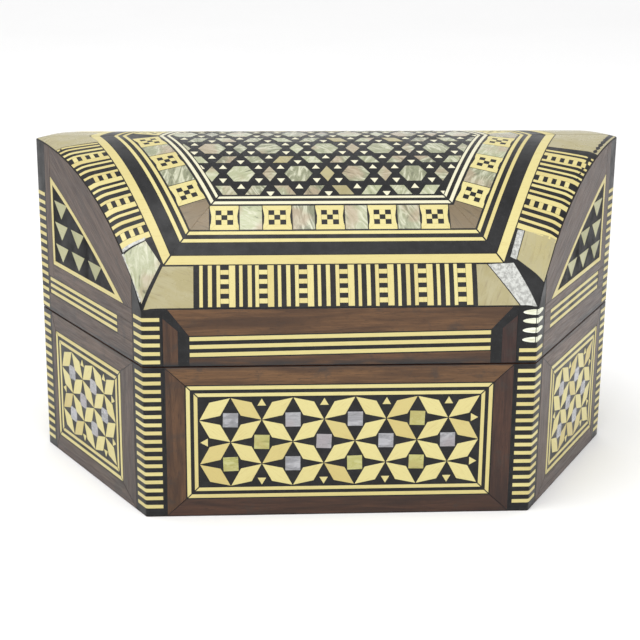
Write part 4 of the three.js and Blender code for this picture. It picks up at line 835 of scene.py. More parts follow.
for wall in (1, 2, 4, 5):
    name, length = WALL_NAMES[wall], LENGTHS[wall]
    tall_first = wall in (2, 5)

    def from_end(points):
        """Places measured from the box's end corner turned into places along the wall."""
        points = np.array(points, float)
        if not tall_first:
            points[:, 0] = length - points[:, 0]
        return points

    def rectangle(start, end, low, high, tone):
        """A piece from start to end, measured from the box's end corner, and from low to high."""
        return tile(from_end([[start, low], [end, low], [end, high], [start, high]]), tone)

    tip = length - TIP_MARGIN
    apex_in, tip_in = [TALL_MARGIN, TRIANGLE_HIGH], [tip, TRIANGLE_LOW]
    foot_in = [TALL_MARGIN, TRIANGLE_LOW]
    inner_foot = [TALL_MARGIN + TRIANGLE_EDGE, TRIANGLE_LOW + TRIANGLE_EDGE]
    inner_tip = [tip - TIP_EDGE, TRIANGLE_LOW + TRIANGLE_EDGE]
    inner_apex = [TALL_MARGIN + TRIANGLE_EDGE, TRIANGLE_HIGH - APEX_EDGE]
    slope = bowed(tip_in, apex_in, TRIANGLE_BULGE)
    inner_slope = bowed(inner_tip, inner_apex, TRIANGLE_BULGE)
    steps = np.linspace(GROUND_START, length - GROUND_START, 24)
    arch = np.column_stack([steps, vault_height(wall, steps) - WOOD_GAP])
    ground_foot = np.column_stack([steps, np.full(len(steps), LID_FOOT + GROUND_SEAM)])
    lay(f"lid_ground_{name}", [strip(ground_foot, arch)], on_wall(wall), "lid", black_ground,
        top=GROUND)
    bone = [strip(from_end(slope), from_end(inner_slope), 0.6),
            tile(from_end([foot_in, tip_in, inner_tip, inner_foot]), 0.7),
            tile(from_end([foot_in, inner_foot, inner_apex, apex_in]), 0.6)]
    small = []
    for z, count in SMALL_ROWS:
        for column in range(count):
            corner = [TALL_MARGIN + SMALL_START + SMALL_PITCH * column, z]
            small.append(tile(from_end(SMALL_OUTLINE + corner), dice.uniform(0, 1)))
    lines_z = FRONT_LINES_Z if tall_first else BACK_LINES_Z
    line_start, line_end = LINE_SPAN if tall_first else (TIP_MARGIN, tip)
    bone += [rectangle(line_start, line_end, z, z + SIDE_LINE_WIDTH, 0.6) for z in lines_z]
    lay(f"lid_inlay_{name}", bone, on_wall(wall), "lid", yellow_bone)
    lay(f"lid_triangles_{name}", small, on_wall(wall), "lid", olive_bone)
    black_plate = strip(from_end(slope), from_end(np.linspace(tip_in, foot_in, len(slope))))
    plate = lay(f"lid_triangle_{name}", [black_plate], on_wall(wall), "lid", black_ground,
                top=GROUND,
                foot=-PLATE_THICK, ease=PLATE_EASE)
    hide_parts(f"lid_panel_{name}")
    low, post_end = LID_FOOT + SEAM_MARGIN, TALL_MARGIN - WOOD_GAP
    lines_low, lines_high = lines_z[0] - 0.3, lines_z[-1] + 1.2
    rail_end = length - POST_START
    rail_a, post_a = np.linspace(rail_end, TALL_MARGIN, 9), np.linspace(POST_START, post_end, 3)
    rail_z, post_z = [vault_height(wall, a if tall_first else length - a) - 0.14 for a in (rail_a, post_a)]
    rafter_top = np.vstack([[[rail_end, TRIANGLE_LOW]], np.column_stack([rail_a, rail_z])])
    rafter_ends = [tip + WOOD_GAP, TRIANGLE_LOW], [TALL_MARGIN, TRIANGLE_HIGH + WOOD_GAP]
    rafter_low = bowed(*rafter_ends, TRIANGLE_BULGE, 41)[[0, *range(1, 40, 5), 40]]
    post_foot = np.column_stack([post_a, np.full(3, lines_high)])
    between_lines = (lines_low + 0.1, lines_high - 0.1)
    wood = [strip(from_end(rafter_low), from_end(rafter_top), 0.45, -0.6 if tall_first else 0.6),
            strip(from_end(post_foot), from_end(np.column_stack([post_a, post_z])), 0.5, math.pi / 2),
            rectangle(post_end, rail_end, lines_high, TRIANGLE_LOW - WOOD_GAP, 0.5),
            rectangle(POST_START, rail_end, low, lines_low, 0.5),
            rectangle(POST_START, line_start - 0.3, *between_lines, 0.5),
            rectangle(line_end + 0.3, rail_end, *between_lines, 0.5)]
    lay(f"lid_veneer_{name}", wood, on_wall(wall), "lid", walnut_veneer)


# ---- Vault ground --------------------------------------------------------------------------------
# The black sheet glued over the bent board, in which all of the vault's inlay is set.

VENEER = 1.2
SHEET_EDGE = 0.02
SHEET_BOW = math.pi / 2 * 0.86
PATTERN_X = -1.3
EDGE_ARC = PATTERN_RADIUS * math.asin(HALF_DEPTH / PATTERN_RADIUS)


def on_vault(x, b, h):
    """Places (x, b, h) on the vault. b is the way back from the crest over the pattern's own arc of radius P,
    so y = P sin(b / P) on the vault's face, where z = centre + (R^2 - y^2)^0.5; both grow by (R + h) / R, and
    the wear is taken off."""
    y = PATTERN_RADIUS * np.sin(b / PATTERN_RADIUS)
    grown = (VAULT_RADIUS + h) / VAULT_RADIUS
    z = VAULT_CENTRE + np.sqrt(VAULT_RADIUS ** 2 - y ** 2) * grown
    return np.column_stack([x, y * grown, z - worn(x, y)])


def vault_sheet(name, high, low, margin, body, material, across=97, along=65):
    """A sheet with the box's plan less a margin m, between two heights over the vault: a grid for each face,
    x = t (W - 2 m / 3^0.5 - |y| / tan 60) against y, closed by a wall round the edge."""
    depth = HALF_DEPTH - margin
    y = depth * np.sin(np.linspace(-1, 1, along) * SHEET_BOW) / math.sin(SHEET_BOW)
    t = np.sin(np.linspace(-1, 1, across) * math.pi / 2)
    x = t[None, :] * (HALF_WIDTH - 2 * margin / math.sqrt(3) - np.abs(y[:, None]) / math.sqrt(3))
    y_grid = np.broadcast_to(y[:, None], x.shape)
    drop = worn(x, y_grid)
    faces = [np.stack([x, y_grid, VAULT_CENTRE + np.sqrt((VAULT_RADIUS + h) ** 2 - y_grid ** 2) - drop],
                      -1).reshape(-1, 3) for h in (high, low)]
    index = np.arange(across * along).reshape(along, across)
    quads = np.stack([index[:-1, :-1], index[:-1, 1:], index[1:, 1:], index[1:, :-1]], -1).reshape(-1, 4)
    rim = np.concatenate([index[0, :-1], index[:-1, -1], index[-1, :0:-1], index[:0:-1, 0]])
    ahead = np.roll(rim, -1)
    wall_quads = np.stack([rim, rim + index.size, ahead + index.size, ahead], -1)
    shell = quads.tolist() + (quads[:, ::-1] + index.size).tolist() + wall_quads.tolist()
    return solid_piece(name, np.concatenate(faces), shell, body, material)


ground_sheet = vault_sheet("vault_ground", GROUND, -VENEER, SKIN + SHEET_EDGE, "lid", black_ground)
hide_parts("vault_border")


# ---- Vault lines ---------------------------------------------------------------------------------
# Bone and black lines that follow the lid's outline on the vault, mitred at its six corners.


RIM_ARC, RIM_FRONT, RIM_END = 50.6, 41, 61
FRONT_NARROWING, END_NARROWING = 0.693, 1.083
MITRE = 0.22
BONE_LINES = ((50.3, 48.1), (44.7, 43.8), (42.7, 41.8))
PALE_LINES = ((33.9, 33.0), (32.1, 31.4))
BLACK_BAND = (48.0, 44.8)


def rim_corners(arc):
    """The six corners, from front left, of a line crossing the front at an arc from the crest. It is shorter
    than the rim's line by a share of how far inside the rim it lies."""
    front = RIM_FRONT - FRONT_NARROWING * (RIM_ARC - arc)
    end = RIM_END - END_NARROWING * (RIM_ARC - arc)
    half = np.array([[front, -arc], [end, 0], [front, arc]])
    return np.roll(np.concatenate([half, -half]), 1, axis=0) + [PATTERN_X, 0]


def between(start, end, pitch=2.0):
    """Points from start to end, close enough to follow the vault."""
    count = 2 + int(abs(end[1] - start[1]) // pitch)
    return np.linspace(start, end, count)


def rim_strips(outer, inner, low=0.5, high=0.9):
    """Six mitred strips between two lines round the lid."""
    far, near = rim_corners(outer), rim_corners(inner)
    strips = []
    for side in range(6):
        ahead = (side + 1) % 6
        back = MITRE * (far[ahead] - far[side]) / np.hypot(*(far[ahead] - far[side]))
        outside = between(far[side] + back, far[ahead] - back)
        inside = np.linspace(near[side] + back, near[ahead] - back, len(outside))
        strips.append(strip(outside, inside, dice.uniform(low, high)))
    return strips


bone_lines = [one for line in BONE_LINES for one in rim_strips(*line)]
lay("vault_bone_lines", bone_lines, on_vault, "lid", yellow_bone)
pale_lines = [one for line in PALE_LINES for one in rim_strips(*line)]
lay("vault_pale_lines", pale_lines, on_vault, "lid", pale_bone)
lay("vault_black_band", rim_strips(*BLACK_BAND), on_vault, "lid", black_ground, top=-0.01)


# ---- Striped border ------------------------------------------------------------------------------
# Bone strips across the edge of the vault, with little ladders of bone and black between them, and plates of
# bone and pearl at the corners.

GROUP_PITCH = 9.47
LADDER_HALF = 1.0
LADDER_CELL = 1.1
STRIPE_ARC = 50.55
STRIP_EDGES = ((-1.91, -1.04), (1.04, 2.55), (3.47, 4.29), (5.5, 6.47))
SHORTEST_STRIP = 0.3
LONGEST_REACH, HALVINGS = 30.0, 40
SIDE_GAP, BACK_GAP = 0.2, 0.17


def to_edge(starts, direction):
    """How far each start goes in a direction to the lid's outline, found by halving the way."""
    low, high = np.zeros(len(starts)), np.full(len(starts), LONGEST_REACH)
    for _ in range(HALVINGS):
        middle = (low + high) / 2
        x, b = (starts + middle[:, None] * direction).T
        y = PATTERN_RADIUS * np.sin(np.clip(np.abs(b) / PATTERN_RADIUS, 0, math.pi / 2))
        inside = (np.abs(x) < HALF_WIDTH - y / math.sqrt(3) - SIDE_GAP) & (y < HALF_DEPTH - BACK_GAP)
        low, high = np.where(inside, middle, low), np.where(inside, high, middle)
    return low


def border_side(start, end, runs):
    """Strips across one side of the border. start and end are the inner line's ends, and a run is (first,
    last, centres): it fills first..last along the line with groups whose ladders stand at the centres."""
    along = (end - start) / np.hypot(*(end - start))
    outwards = np.array([along[1], -along[0]])
    bone = []

    def crossing(first, last, tone, near=0.0, far=None):
        """One strip across the border between two places along it, from near out to far or to the outline."""
        feet = start + np.array([[first], [last]]) * along
        reach = to_edge(feet, outwards) - dice.uniform(0, 0.12) if far is None else np.array([far, far])
        count = 7 if far is None else 2
        lines = [foot + np.linspace(near, stop, count)[:, None] * outwards for foot, stop in zip(feet, reach)]
        return strip(lines[0], lines[1], tone, math.atan2(outwards[1], outwards[0]))

    for first, last, centres in runs:
        for centre in [centres[0] - GROUP_PITCH] + list(centres):
            for low, high in STRIP_EDGES:
                a, b = max(centre + low, first), min(centre + high, last)
                if b - a > SHORTEST_STRIP:
                    bone.append(crossing(a, b, dice.uniform(0.4, 0.9)))
            if first <= centre - LADDER_HALF and centre + LADDER_HALF <= last and centre in centres:
                reach = to_edge((start + centre * along)[None], outwards)[0]
                for cell in range(1, int(reach / LADDER_CELL), 2):
                    bone.append(crossing(centre - LADDER_HALF, centre + LADDER_HALF, dice.uniform(0.4, 0.9),
                                         cell * LADDER_CELL, min((cell + 1) * LADDER_CELL, reach - 0.1)))
    return bone


PLATE_STEPS = 8


def curved_plates(name, plates, material):
    """Plates too broad to lie flat on the vault, each from four corners and a tone. A point inside one is its
    corners' mean weighted (1 - s)(1 - t), s (1 - t), s t, (1 - s) t; the rim goes down in two steps."""
    corners = np.array([corners for corners, _ in plates], float)
    ahead = np.roll(corners, -1, axis=1)
    area = (corners[..., 0] * ahead[..., 1] - corners[..., 1] * ahead[..., 0]).sum(1)
    corners = np.where((area > 0)[:, None, None], corners, corners[:, ::-1])
    t, s = np.meshgrid(*[np.linspace(0, 1, PLATE_STEPS)] * 2, indexing="ij")
    weights = np.stack([(1 - s) * (1 - t), s * (1 - t), s * t, (1 - s) * t], -1).reshape(-1, 4)
    index = np.arange(PLATE_STEPS ** 2).reshape(PLATE_STEPS, PLATE_STEPS)
    rim = np.concatenate([index[0, :-1], index[:-1, -1], index[-1, :0:-1], index[:0:-1, 0]])
    crown = weights @ inset(corners, EASE)
    edge = (weights @ corners)[:, rim]
    flat = np.concatenate([crown, edge, edge], axis=1)
    height = np.concatenate([np.full(count, level) for count, level in
                             ((index.size, 0.0), (len(rim), -EASE), (len(rim), -SKIN))])
    first = index.size + np.arange(len(rim))
    second = np.roll(first, -1)
    quads = np.concatenate([
        np.stack([index[:-1, :-1], index[:-1, 1:], index[1:, 1:], index[1:, :-1]], -1).reshape(-1, 4),
        np.stack([first, second, np.roll(rim, -1), rim], -1),
        np.stack([first + len(rim), second + len(rim), second, first], -1)])
    start = flat.shape[1] * np.arange(len(plates))[:, None, None]
    faces = (start + quads).reshape(-1, 4).tolist() + (start[:, 0] + first[::-1] + len(rim)).tolist()
    origin, turn = dice.uniform(0, SHEET_SIZE, (len(plates), 1, 2)), dice.uniform(0, 3, (len(plates), 1))
    local = flat - corners.mean(1, keepdims=True)
    cut = np.stack([np.cos(turn) * local[..., 0] + np.sin(turn) * local[..., 1] + origin[..., 0],
                    np.cos(turn) * local[..., 1] - np.sin(turn) * local[..., 0] + origin[..., 1],
                    np.broadcast_to(np.array([tone for _, tone in plates])[:, None], flat.shape[:2])], -1)
    points = on_vault(*flat.reshape(-1, 2).T, np.tile(height, len(plates)))
    return solid_piece(name, points, faces, "lid", material, cut.reshape(-1, 3))


def plates_behind(plates):
    """The same plates over the crest."""
    return [(np.array(corners) * [1, -1], tone) for corners, tone in plates]


def behind(tiles):
    """The same pieces over the crest, for the back half of the lid."""
    return [tile(ring * [1, -1], tone, -grain, is_strip) for ring, tone, grain, is_strip in tiles]


inner_line = rim_corners(STRIPE_ARC)
front_start = inner_line[0][0]
front_centres = np.array([-27.7, -18.5, -9.0, 0.7, 10.2, 19.6, 29.1]) - front_start
front_run = (-34.9 - front_start, 32.5 - front_start, front_centres)
side_length = np.hypot(*(inner_line[0] - inner_line[5]))
left_run = (side_length - 47.4, side_length - 7.8, side_length - np.array([39.7, 29.8, 20.1, 10.6]))
right_run = (9.9, 42.3, np.array([18.4, 27.6, 37.1]))
half_border = []
for side, run in ((0, front_run), (5, left_run), (1, right_run)):
    half_border += border_side(inner_line[side], inner_line[(side + 1) % 6], [run])
lay("border_strips", half_border + behind(half_border), on_vault, "lid", yellow_bone)


PLATE_EDGE = 0.25


def outline_point(b):
    """The lid's outline, less a small edge e, at a way over the arc b: x = W - e - |y| / tan 60."""
    y = PATTERN_RADIUS * math.sin(min(abs(b), EDGE_ARC) / PATTERN_RADIUS)
    return HALF_WIDTH - PLATE_EDGE - y / math.sqrt(3)


FRONT_B = -(EDGE_ARC - PLATE_EDGE)
corner_x = outline_point(FRONT_B)
bone_plates = [
    ([[-42.4, -50.7], [-35.1, -50.7], [-35.1, FRONT_B], [-corner_x + 0.3, FRONT_B]], 0.35),
    ([[32.8, -50.7], [35.4, -50.7], [42.8, FRONT_B], [32.8, FRONT_B]], 0.3)]
filler_plates = [
    ([[35.6, -50.7], [41.9, -50.4], [corner_x - 0.1, FRONT_B], [43.1, FRONT_B]], 0.5),
    ([[41.2, -48.9], [43.6, -41.8], [45.2, -42.1], [42.6, -49.6]], 0.5),
    ([[-46.4, -43.1], [-outline_point(-45.8), -45.8], [-outline_point(-46.6), -46.6], [-46.6, -44.0]], 0.5),
    ([[-outline_point(-46.9), -46.9], [-outline_point(-58.4), -58.4], [-47.4, -58.2], [-52.0, -47.0]], 0.5)]
pearl_plates = [
    ([[-46.5, -44.2], [-42.9, -50.0], [-corner_x - 0.1, FRONT_B + 1.4], [-51.8, -47.2]], 0.75)]
horn_plates = [
    ([[42.8, -49.5], [45.4, -42.1], [outline_point(-44.0), -44.0], [outline_point(-54.5), -54.5]], 0.75)]
end_left = [[-59.3, -5.6], [-62.2, -0.15], [-HALF_WIDTH + 0.5, -0.15], [-outline_point(-10.3), -10.3]]
end_right = [[55.6, -10.2], [59.6, -0.15], [HALF_WIDTH - 0.5, -0.15], [outline_point(-14.0), -14.0]]
bone_plates += [(end_left, 0.55), (end_right, 0.5)]


def horn_material(name, dark, pale, cloud, vein):
    """Thin sheets of old horn and bone: cloudy, with darker veins along the grain."""
    material, tree, shader = new_finish(name, Coat_Weight=0.2, Coat_Roughness=0.2)
    cut, tone = cut_from(tree)
    rubbed(tree, shader, 0.24)
    mist = noise(tree, stretched(tree, cut, 0.12, 0.3, 0.0), 1.0, 4.0, 0.6, 0.8)
    grain = noise(tree, stretched(tree, cut, 0.2, 1.6, 0.0), 1.0, 3.0, 0.6)
    cloudy = mixed(tree, spread(tree, mist, 0.38, 0.64, 0, 0.8), mixed(tree, tone, dark, pale), cloud)
    veined = mixed(tree, spread(tree, grain, 0.52, 0.76, 0, 0.6), cloudy, vein)
    tree.links.new(veined, shader["Base Color"])
    uneven(tree, shader, 0.2, 0.1, mist)
    return material


beige_horn = horn_material("beige_horn", shade(146, 136, 96), shade(174, 164, 118), shade(164, 156, 120),
                           shade(128, 114, 82))
brown_horn = horn_material("brown_horn", shade(104, 90, 68), shade(128, 110, 82), shade(116, 102, 78),
                           shade(70, 60, 46))
silver_filler, tree, shader = new_finish("silver_filler", Metallic=0.35)
lumps = noise(tree, place_on_box(tree), 1.1, 4.0, 0.7)
tree.links.new(mixed(tree, spread(tree, lumps, 0.4, 0.6), shade(150, 150, 146), shade(196, 197, 192)),
               shader["Base Color"])
tree.links.new(spread(tree, lumps, 0.35, 0.65, 0.3, 0.55), shader["Roughness"])
uneven(tree, shader, 0.6, 0.2, lumps)
horn_plates += bone_plates
curved_plates("border_horn_plates", horn_plates + plates_behind(horn_plates), beige_horn)
curved_plates("border_pearl_plates", pearl_plates + plates_behind(pearl_plates), river_pearl)
curved_plates("border_filler", filler_plates, silver_filler)


# ---- Squares border ------------------------------------------------------------------------------
# A band of pearl plates with small bone squares set between them, each with a chequer of nine in its middle,
# and brown horn at the corners.

BAND_MIDDLE = 37.9
BAND_HALF = 3.45
SQUARE_OUT = 3.5
SQUARE_REACH = SQUARE_OUT + 0.2
CELL = 1.4
middle_line = rim_corners(BAND_MIDDLE)


def side_frame(side):
    """Where a side of the band starts, and the directions along it and across it."""
    start, end = middle_line[side % 6], middle_line[(side + 1) % 6]
    along = (end - start) / np.hypot(*(end - start))
    return start, along, np.array([-along[1], along[0]])


def chequer(centre, along):
    """A bone square with a hole three cells wide, and the four bone cells of its chequer."""
    turn = math.atan2(along[1], along[0])
    turned = np.array([along, [-along[1], along[0]]])
    square = np.array([[-1, -1], [1, -1], [1, 1], [-1, 1]]) @ turned
    outer, inner = centre + SQUARE_OUT * square, centre + 1.5 * CELL * square
    tone = dice.uniform(0.7, 1.0)
    tiles = [tile([outer[i - 4], outer[i - 3], inner[i - 3], inner[i - 4]], tone, turn) for i in range(4)]
    for cell in np.array([[0, -1], [1, 0], [0, 1], [-1, 0]]) @ turned:
        tiles.append(square_tile(*(centre + CELL * cell), CELL / 2, tone, turn))
    return tiles


def band_side(side, places):
    """Bone squares at places along the band's middle line, and the plates that fill the gaps between them."""
    start, along, up = side_frame(side)
    bone = [piece for place in places for piece in chequer(start + place * along, along)]
    plates = []
    for one, two in zip(places[:-1], places[1:]):
        first, last = start + (one + SQUARE_REACH) * along, start + (two - SQUARE_REACH) * along
        half = up * BAND_HALF
        plates.append(([first - half, last - half, last + half, first + half], dice.uniform(0, 1)))
    return bone, plates


def band_corner(side, last, first):
    """The plates either side of a mitre: from the last square of one side to the first of the next."""
    far, near = rim_corners(BAND_MIDDLE + BAND_HALF)[side], rim_corners(BAND_MIDDLE - BAND_HALF)[side]
    plates = []
    for which, place in ((side - 1, last + SQUARE_REACH), (side, first - SQUARE_REACH)):
        start, along, up = side_frame(which)
        spot = start + place * along
        plates.append(([spot + up * BAND_HALF, spot - up * BAND_HALF, far, near], dice.uniform(0, 1)))
    return plates


front_places = np.array([-27.6, -14.8, -2.0, 10.8, 23.6]) - middle_line[0][0]
right_places, left_places = np.array([7.4, 20.6, 34.2]), np.array([5.8, 18.6, 32.2])
band_bone, band_pearl = [], []
for side, places in ((0, front_places), (1, right_places), (5, left_places)):
    bone, plates = band_side(side, places)
    band_bone += bone
    band_pearl += plates
band_horn = band_corner(0, left_places[-1], front_places[0])
band_horn += band_corner(1, front_places[-1], right_places[0])
band_pearl += band_corner(2, right_places[-1], left_places[0])
lay("squares_bone", band_bone + behind(band_bone), on_vault, "lid", yellow_bone)
curved_plates("squares_pearl", band_pearl + plates_behind(band_pearl), river_pearl)
curved_plates("squares_horn", band_horn + plates_behind(band_horn), brown_horn)


# ---- Star field ----------------------------------------------------------------------------------
# The middle of the vault: pearl hexagons joined by bone and pearl lozenges, with small white triangles round
# each hexagon, all let into the black ground and cut off at the border.

FIELD_PITCH = 14.3
FIELD_ROW = 12.4
FIELD_FIRST = 10.7
FIELD_ARC = 31.2
HEXAGON_REACH = 3.5
LOZENGE_SIDE = 3.6
STAR_TRIANGLE = 2.0
STAR_REACH = 5.1
FIELD_X = -1.95
PEARL_SHARE = 0.75
SHORTEST_EDGE, SMALLEST_PIECE = 0.08, 0.5


def trimmed(ring, borders):
    """The part of a convex outline inside a border. For each line of the border the corners on the inner side
    stay, and an edge from p to q that crosses gets the point p + t (q - p), t = d / (d - e), with d and e
    their distances. Slivers give nothing."""
    ring = np.asarray(ring, float)
    for point, inwards in borders:
        d = (ring - point) @ inwards
        e, q = np.roll(d, -1), np.roll(ring, -1, axis=0)
        cross = d * e < 0
        t = np.where(cross, d / np.where(cross, d - e, 1), 0)
        both = np.stack([ring, ring + t[:, None] * (q - ring)], axis=1).reshape(-1, 2)
        ring = both[np.stack([d >= 0, cross], axis=1).reshape(-1)]
        if len(ring) < 3:
            return None
    ahead = np.roll(ring, -1, axis=0)
    ring = ring[np.hypot(*(ahead - ring).T) > SHORTEST_EDGE]
    area = abs((ring[:, 0] * np.roll(ring[:, 1], -1) - ring[:, 1] * np.roll(ring[:, 0], -1)).sum()) / 2
    return ring if len(ring) >= 3 and area > SMALLEST_PIECE else None


def ring_round(x, b, reach, angles):
    """An outline with a corner at each angle round a point."""
    return np.column_stack([x + reach * np.cos(angles), b + reach * np.sin(angles)])


field_corners = rim_corners(FIELD_ARC)
field_borders = []
for side in range(6):
    edge = field_corners[(side + 1) % 6] - field_corners[side]
    field_borders.append((field_corners[side], np.array([-edge[1], edge[0]]) / np.hypot(*edge)))

field_bone, field_pearl, field_horn = [], [], []
hexagon_angles = np.arange(6) * math.pi / 3
triangle_angles = math.pi / 2 + np.arange(3) * 2 * math.pi / 3
for row in range(-5, 5):
    b = -FIELD_FIRST - FIELD_ROW * row
    for column in range(-6, 7):
        x = FIELD_X + FIELD_PITCH * (column + 0.5 * (row % 2))
        ring = trimmed(ring_round(x, b, HEXAGON_REACH, hexagon_angles), field_borders)
        if ring is not None:
            field_pearl.append(tile(ring, dice.uniform(0, 1), dice.uniform(0, 3)))
        for turn in range(6):
            angle = math.radians(30 + 60 * turn)
            spot = (x + STAR_REACH * math.cos(angle), b + STAR_REACH * math.sin(angle))
            angles = triangle_angles + turn % 2 * math.pi
            ring = trimmed(ring_round(*spot, STAR_TRIANGLE / math.sqrt(3), angles), field_borders)
            if ring is not None:
                field_bone.append(tile(ring, 0.9))
        for turn in (0, 60, 120):
            angle = math.radians(turn)
            link = np.array([math.cos(angle), math.sin(angle)])
            side = np.array([-link[1], link[0]])
            middle = np.array([x, b]) + link * FIELD_PITCH / 2
            short, long = LOZENGE_SIDE / 2, LOZENGE_SIDE * math.sqrt(3) / 2
            full = [middle - link * short, middle - side * long, middle + link * short, middle + side * long]
            ring = trimmed(full, field_borders)
            if ring is not None:
                chosen = field_pearl if dice.random() < PEARL_SHARE else field_horn
                chosen.append(tile(ring, dice.uniform(0, 1), angle))

field_piece = lay("field_pearl", field_pearl, on_vault, "lid", river_pearl)
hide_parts("vault_field")
lay("field_bone", field_bone, on_vault, "lid", pale_bone)
lay("field_horn", field_horn, on_vault, "lid", beige_horn)


# ---- Lid lining ----------------------------------------------------------------------------------
# Red velvet over thin wadding under the vault and down its walls, tucked behind a firm frame at the seam.


def velvet_material(name, deep, bright):
    """Cotton velvet: deep in the pile, brighter where it is brushed the other way, with a soft sheen."""
    material, tree, shader = new_finish(name, Sheen_Weight=0.6, Sheen_Roughness=0.35,
                                        Sheen_Tint=shade(226, 120, 120), Specular_IOR_Level=0.2)
    brushed = noise(tree, place_on_box(tree), 0.09, 3.0, 0.5, 0.8)
    pile = noise(tree, place_on_box(tree), 3.2, 2.0)
    colour = mixed(tree, spread(tree, brushed, 0.3, 0.75, 0.3, 0.8), deep, bright)
    tufted = mixed(tree, spread(tree, pile, 0.35, 0.7, 0, 0.4), colour, deep)
    tree.links.new(tufted, shader["Base Color"])
    tree.links.new(spread(tree, pile, 0.3, 0.7, 0.85, 1.0), shader["Roughness"])
    uneven(tree, shader, 0.5, 0.25, pile)
    return material


red_velvet = velvet_material("red_velvet", shade(84, 10, 20), shade(142, 24, 36))


def remeshed(name, node_name, voxel):
    """A copy of a CAD solid with its loose triangles merged, rebuilt as an even mesh of small squares."""
    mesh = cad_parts[node_name].data.copy()
    made = bpy.data.objects.new(name, mesh)
    bpy.context.scene.collection.objects.link(made)
    shell = bmesh.new()
    shell.from_mesh(mesh)
    bmesh.ops.remove_doubles(shell, verts=shell.verts, dist=1e-6)
    shell.to_mesh(mesh)
    shell.free()
    made.data.materials.clear()
    remesh = made.modifiers.new("even", "REMESH")
    remesh.mode = "VOXEL"
    remesh.voxel_size = voxel * MM
    return bake_modifiers(made)


def bake_modifiers(made):
    """The object with its modifiers worked into its mesh."""
    graph = bpy.context.evaluated_depsgraph_get()
    graph.update()
    mesh = bpy.data.meshes.new_from_object(made.evaluated_get(graph))
    made.modifiers.clear()
    made.data = mesh
    return made


def finish_soft(made, body, node_name):
    """A velvet piece shaded as one surface, riding on a body in place of its CAD solid."""
    made.data.materials.clear()
    made.data.materials.append(red_velvet)
    made.data.shade_smooth()
    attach(made, body)
    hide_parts(node_name)
    return made


def velvet_lining(name, body, node_name, voxel):
    """Velvet over a CAD solid, with its edges rounded off by evening out the mesh three times."""
    made = remeshed(name, node_name, voxel)
    rounding = made.modifiers.new("soft", "SMOOTH")
    rounding.factor, rounding.iterations = 0.5, 3
    return finish_soft(bake_modifiers(made), body, node_name)


lid_lining = velvet_lining("lid_velvet", "lid", "lid_lining", 1.0)


# ---- Compartment lining --------------------------------------------------------------------------
# Velvet glued round a thin card that stands against the compartment's walls, its upper edge turned over.

side_lining = velvet_lining("compartment_velvet", "base", "compartment_lining", 0.7)


# ---- Compartment cushion -------------------------------------------------------------------------
# A thin velvet pad on the compartment's floor, filled with wadding, so that it is crowned in the middle and
# pulls in along its sides.

UNFILLED_PLAN, UNFILLED_HEIGHT = 0.985, 0.8
SWELL = 0.9 * MM
CROWN_RISE = 0.5 * MM
CUSHION_GAP = 0.01 * MM
FILLING_STEPS = 15


def points_of(mesh):
    """A mesh's points as an array."""
    points = np.empty(len(mesh.vertices) * 3)
    mesh.vertices.foreach_get("co", points)
    return points.reshape(-1, 3)


cushion = remeshed("cushion_velvet", "compartment_cushion", 2.0)
points = points_of(cushion.data)
middle = (points.min(0) + points.max(0)) / 2
low_z, high_z = points[:, 2].min(), points[:, 2].max()
points[:, :2] = middle[:2] + (points[:, :2] - middle[:2]) * UNFILLED_PLAN
points[:, 2] = low_z + (points[:, 2] - low_z) * UNFILLED_HEIGHT
cushion.data.vertices.foreach_set("co", points.ravel())
cloth = cushion.modifiers.new("wadding", "CLOTH")
cloth.settings.quality = 6
cloth.settings.mass = 0.1
cloth.settings.tension_stiffness = cloth.settings.compression_stiffness = 20
cloth.settings.bending_stiffness = 0.8
cloth.settings.use_pressure = True
cloth.settings.uniform_pressure_force = 4.0
cloth.settings.effector_weights.gravity = 0.0
for step in range(1, FILLING_STEPS + 1):
    bpy.context.scene.frame_set(step)
graph = bpy.context.evaluated_depsgraph_get()
travel = points_of(cushion.evaluated_get(graph).data) - points
far = np.linalg.norm(travel, axis=1, keepdims=True)
points = points + travel * np.minimum(1, SWELL / np.maximum(far, 1e-9))
cushion.modifiers.clear()
bpy.context.scene.frame_set(1)
limits_low, limits_high = [np.array(corner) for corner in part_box("compartment_cushion")]
crown = np.clip(1 - np.abs((points[:, 0] - middle[0]) / (limits_high[0] - middle[0])) ** 3, 0, 1)
crown *= np.clip(1 - np.abs(points[:, 1] / limits_high[1]) ** 3, 0, 1)
upper = np.clip((points[:, 2] - low_z) / (high_z - low_z), 0, 1)
points[:, 2] += upper * crown * CROWN_RISE
points = np.clip(points, limits_low + CUSHION_GAP, limits_high - CUSHION_GAP)
cushion.data.vertices.foreach_set("co", points.ravel())
cushion.data.update()
subdivision = cushion.modifiers.new("smooth", "SUBSURF")
subdivision.levels = subdivision.render_levels = 1
finish_soft(cushion, "base", "compartment_cushion")


# ---- Studio --------------------------------------------------------------------------------------
# A white table that runs up into a white wall, even light from all round and a broad soft light above.

table_finish, tree, shader = new_finish("white_table", Roughness=0.9, Specular_IOR_Level=0.1)
clouds = noise(tree, node(tree, "ShaderNodeTexCoord").outputs["Object"], 6.0)
tree.links.new(mixed(tree, clouds, shade(250, 250, 250), shade(255, 255, 255)), shader["Base Color"])
TABLE_HALF, TABLE_BACK, TABLE_RISE, WALL_TOP = 3.0, 2.0, 1.2, 3.0
bend = np.linspace(0, math.pi / 2, 13)
curve = [TABLE_BACK - TABLE_RISE, 0] + TABLE_RISE * np.column_stack([np.sin(bend), 1 - np.cos(bend)])
profile = np.vstack([[[-TABLE_HALF, 0]], curve, [[TABLE_BACK, WALL_TOP]]])
sides = np.tile([-TABLE_HALF, TABLE_HALF], len(profile))
sweep = np.column_stack([sides, np.repeat(profile, 2, axis=0)])
rows = np.arange(len(profile) - 1)[:, None] * 2
table_mesh = bpy.data.meshes.new("white_table")
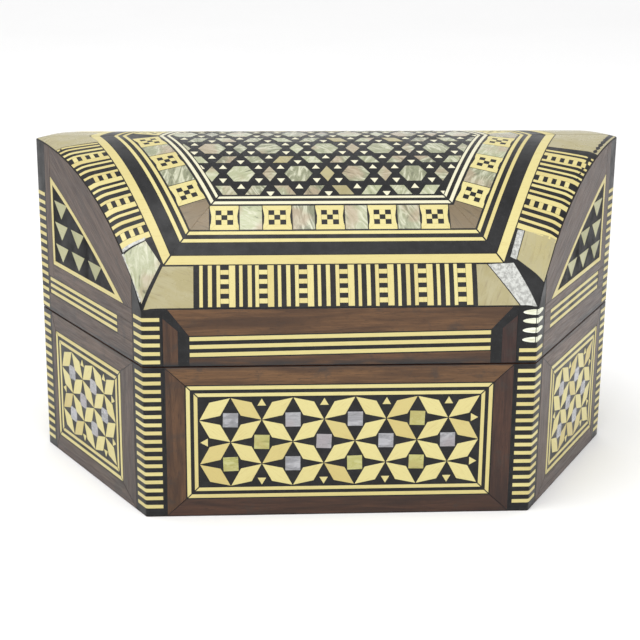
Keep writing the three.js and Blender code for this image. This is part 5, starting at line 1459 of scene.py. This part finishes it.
table_mesh.from_pydata(sweep, [], (rows + [0, 1, 3, 2]).tolist())
table_mesh.shade_smooth()
table_mesh.materials.append(table_finish)
table = bpy.data.objects.new("white_table", table_mesh)
bpy.context.scene.collection.objects.link(table)

world = bpy.data.worlds.new("studio")
bpy.context.scene.world = world
world.use_nodes = True
world.node_tree.nodes["Background"].inputs["Color"].default_value = (1, 1, 1, 1)
world.node_tree.nodes["Background"].inputs["Strength"].default_value = 0.85
bpy.context.scene.view_settings.view_transform = "Standard"


def soft_light(name, where, aim, size, power):
    """A square area light, its energy in watts, turned from one place to face another."""
    lamp = bpy.data.lights.new(name, "AREA")
    lamp.shape, lamp.size, lamp.energy = "SQUARE", size, power
    made = bpy.data.objects.new(name, lamp)
    bpy.context.scene.collection.objects.link(made)
    made.location = where
    made.rotation_mode = "QUATERNION"
    made.rotation_quaternion = (Vector(aim) - Vector(where)).to_track_quat("-Z", "Y")


BOX_MIDDLE = (0, 0, 0.03)
soft_light("overhead", (-0.25, -0.25, 0.9), BOX_MIDDLE, 0.7, 4.0)
soft_light("front_fill", (0.3, -0.9, 0.5), BOX_MIDDLE, 0.8, 2.5)


# ---- Camera --------------------------------------------------------------------------------------
# A long lens at eye height over the table, a little to the left of the box.

YAW, PITCH, ROLL = math.radians(-3.56), math.radians(18.26), math.radians(0.57)
EYE = (-0.02806, -0.4188, 0.17285)
LENS, SENSOR = 91.97, 36
forward = np.array([-math.sin(YAW) * math.cos(PITCH), math.cos(YAW) * math.cos(PITCH), -math.sin(PITCH)])
level = np.array([math.cos(YAW), math.sin(YAW), 0])
upright = np.cross(level, forward)
right = math.cos(ROLL) * level + math.sin(ROLL) * upright
up = -math.sin(ROLL) * level + math.cos(ROLL) * upright
lens = bpy.data.cameras.new("camera")
lens.lens, lens.sensor_width = LENS, SENSOR
camera = bpy.data.objects.new("camera", lens)
bpy.context.scene.collection.objects.link(camera)
turned = Matrix([[right[i], up[i], -forward[i]] for i in range(3)])
camera.matrix_world = Matrix.Translation(EYE) @ turned.to_4x4()
lens.clip_start, lens.clip_end = 0.01, 50
bpy.context.scene.camera = camera
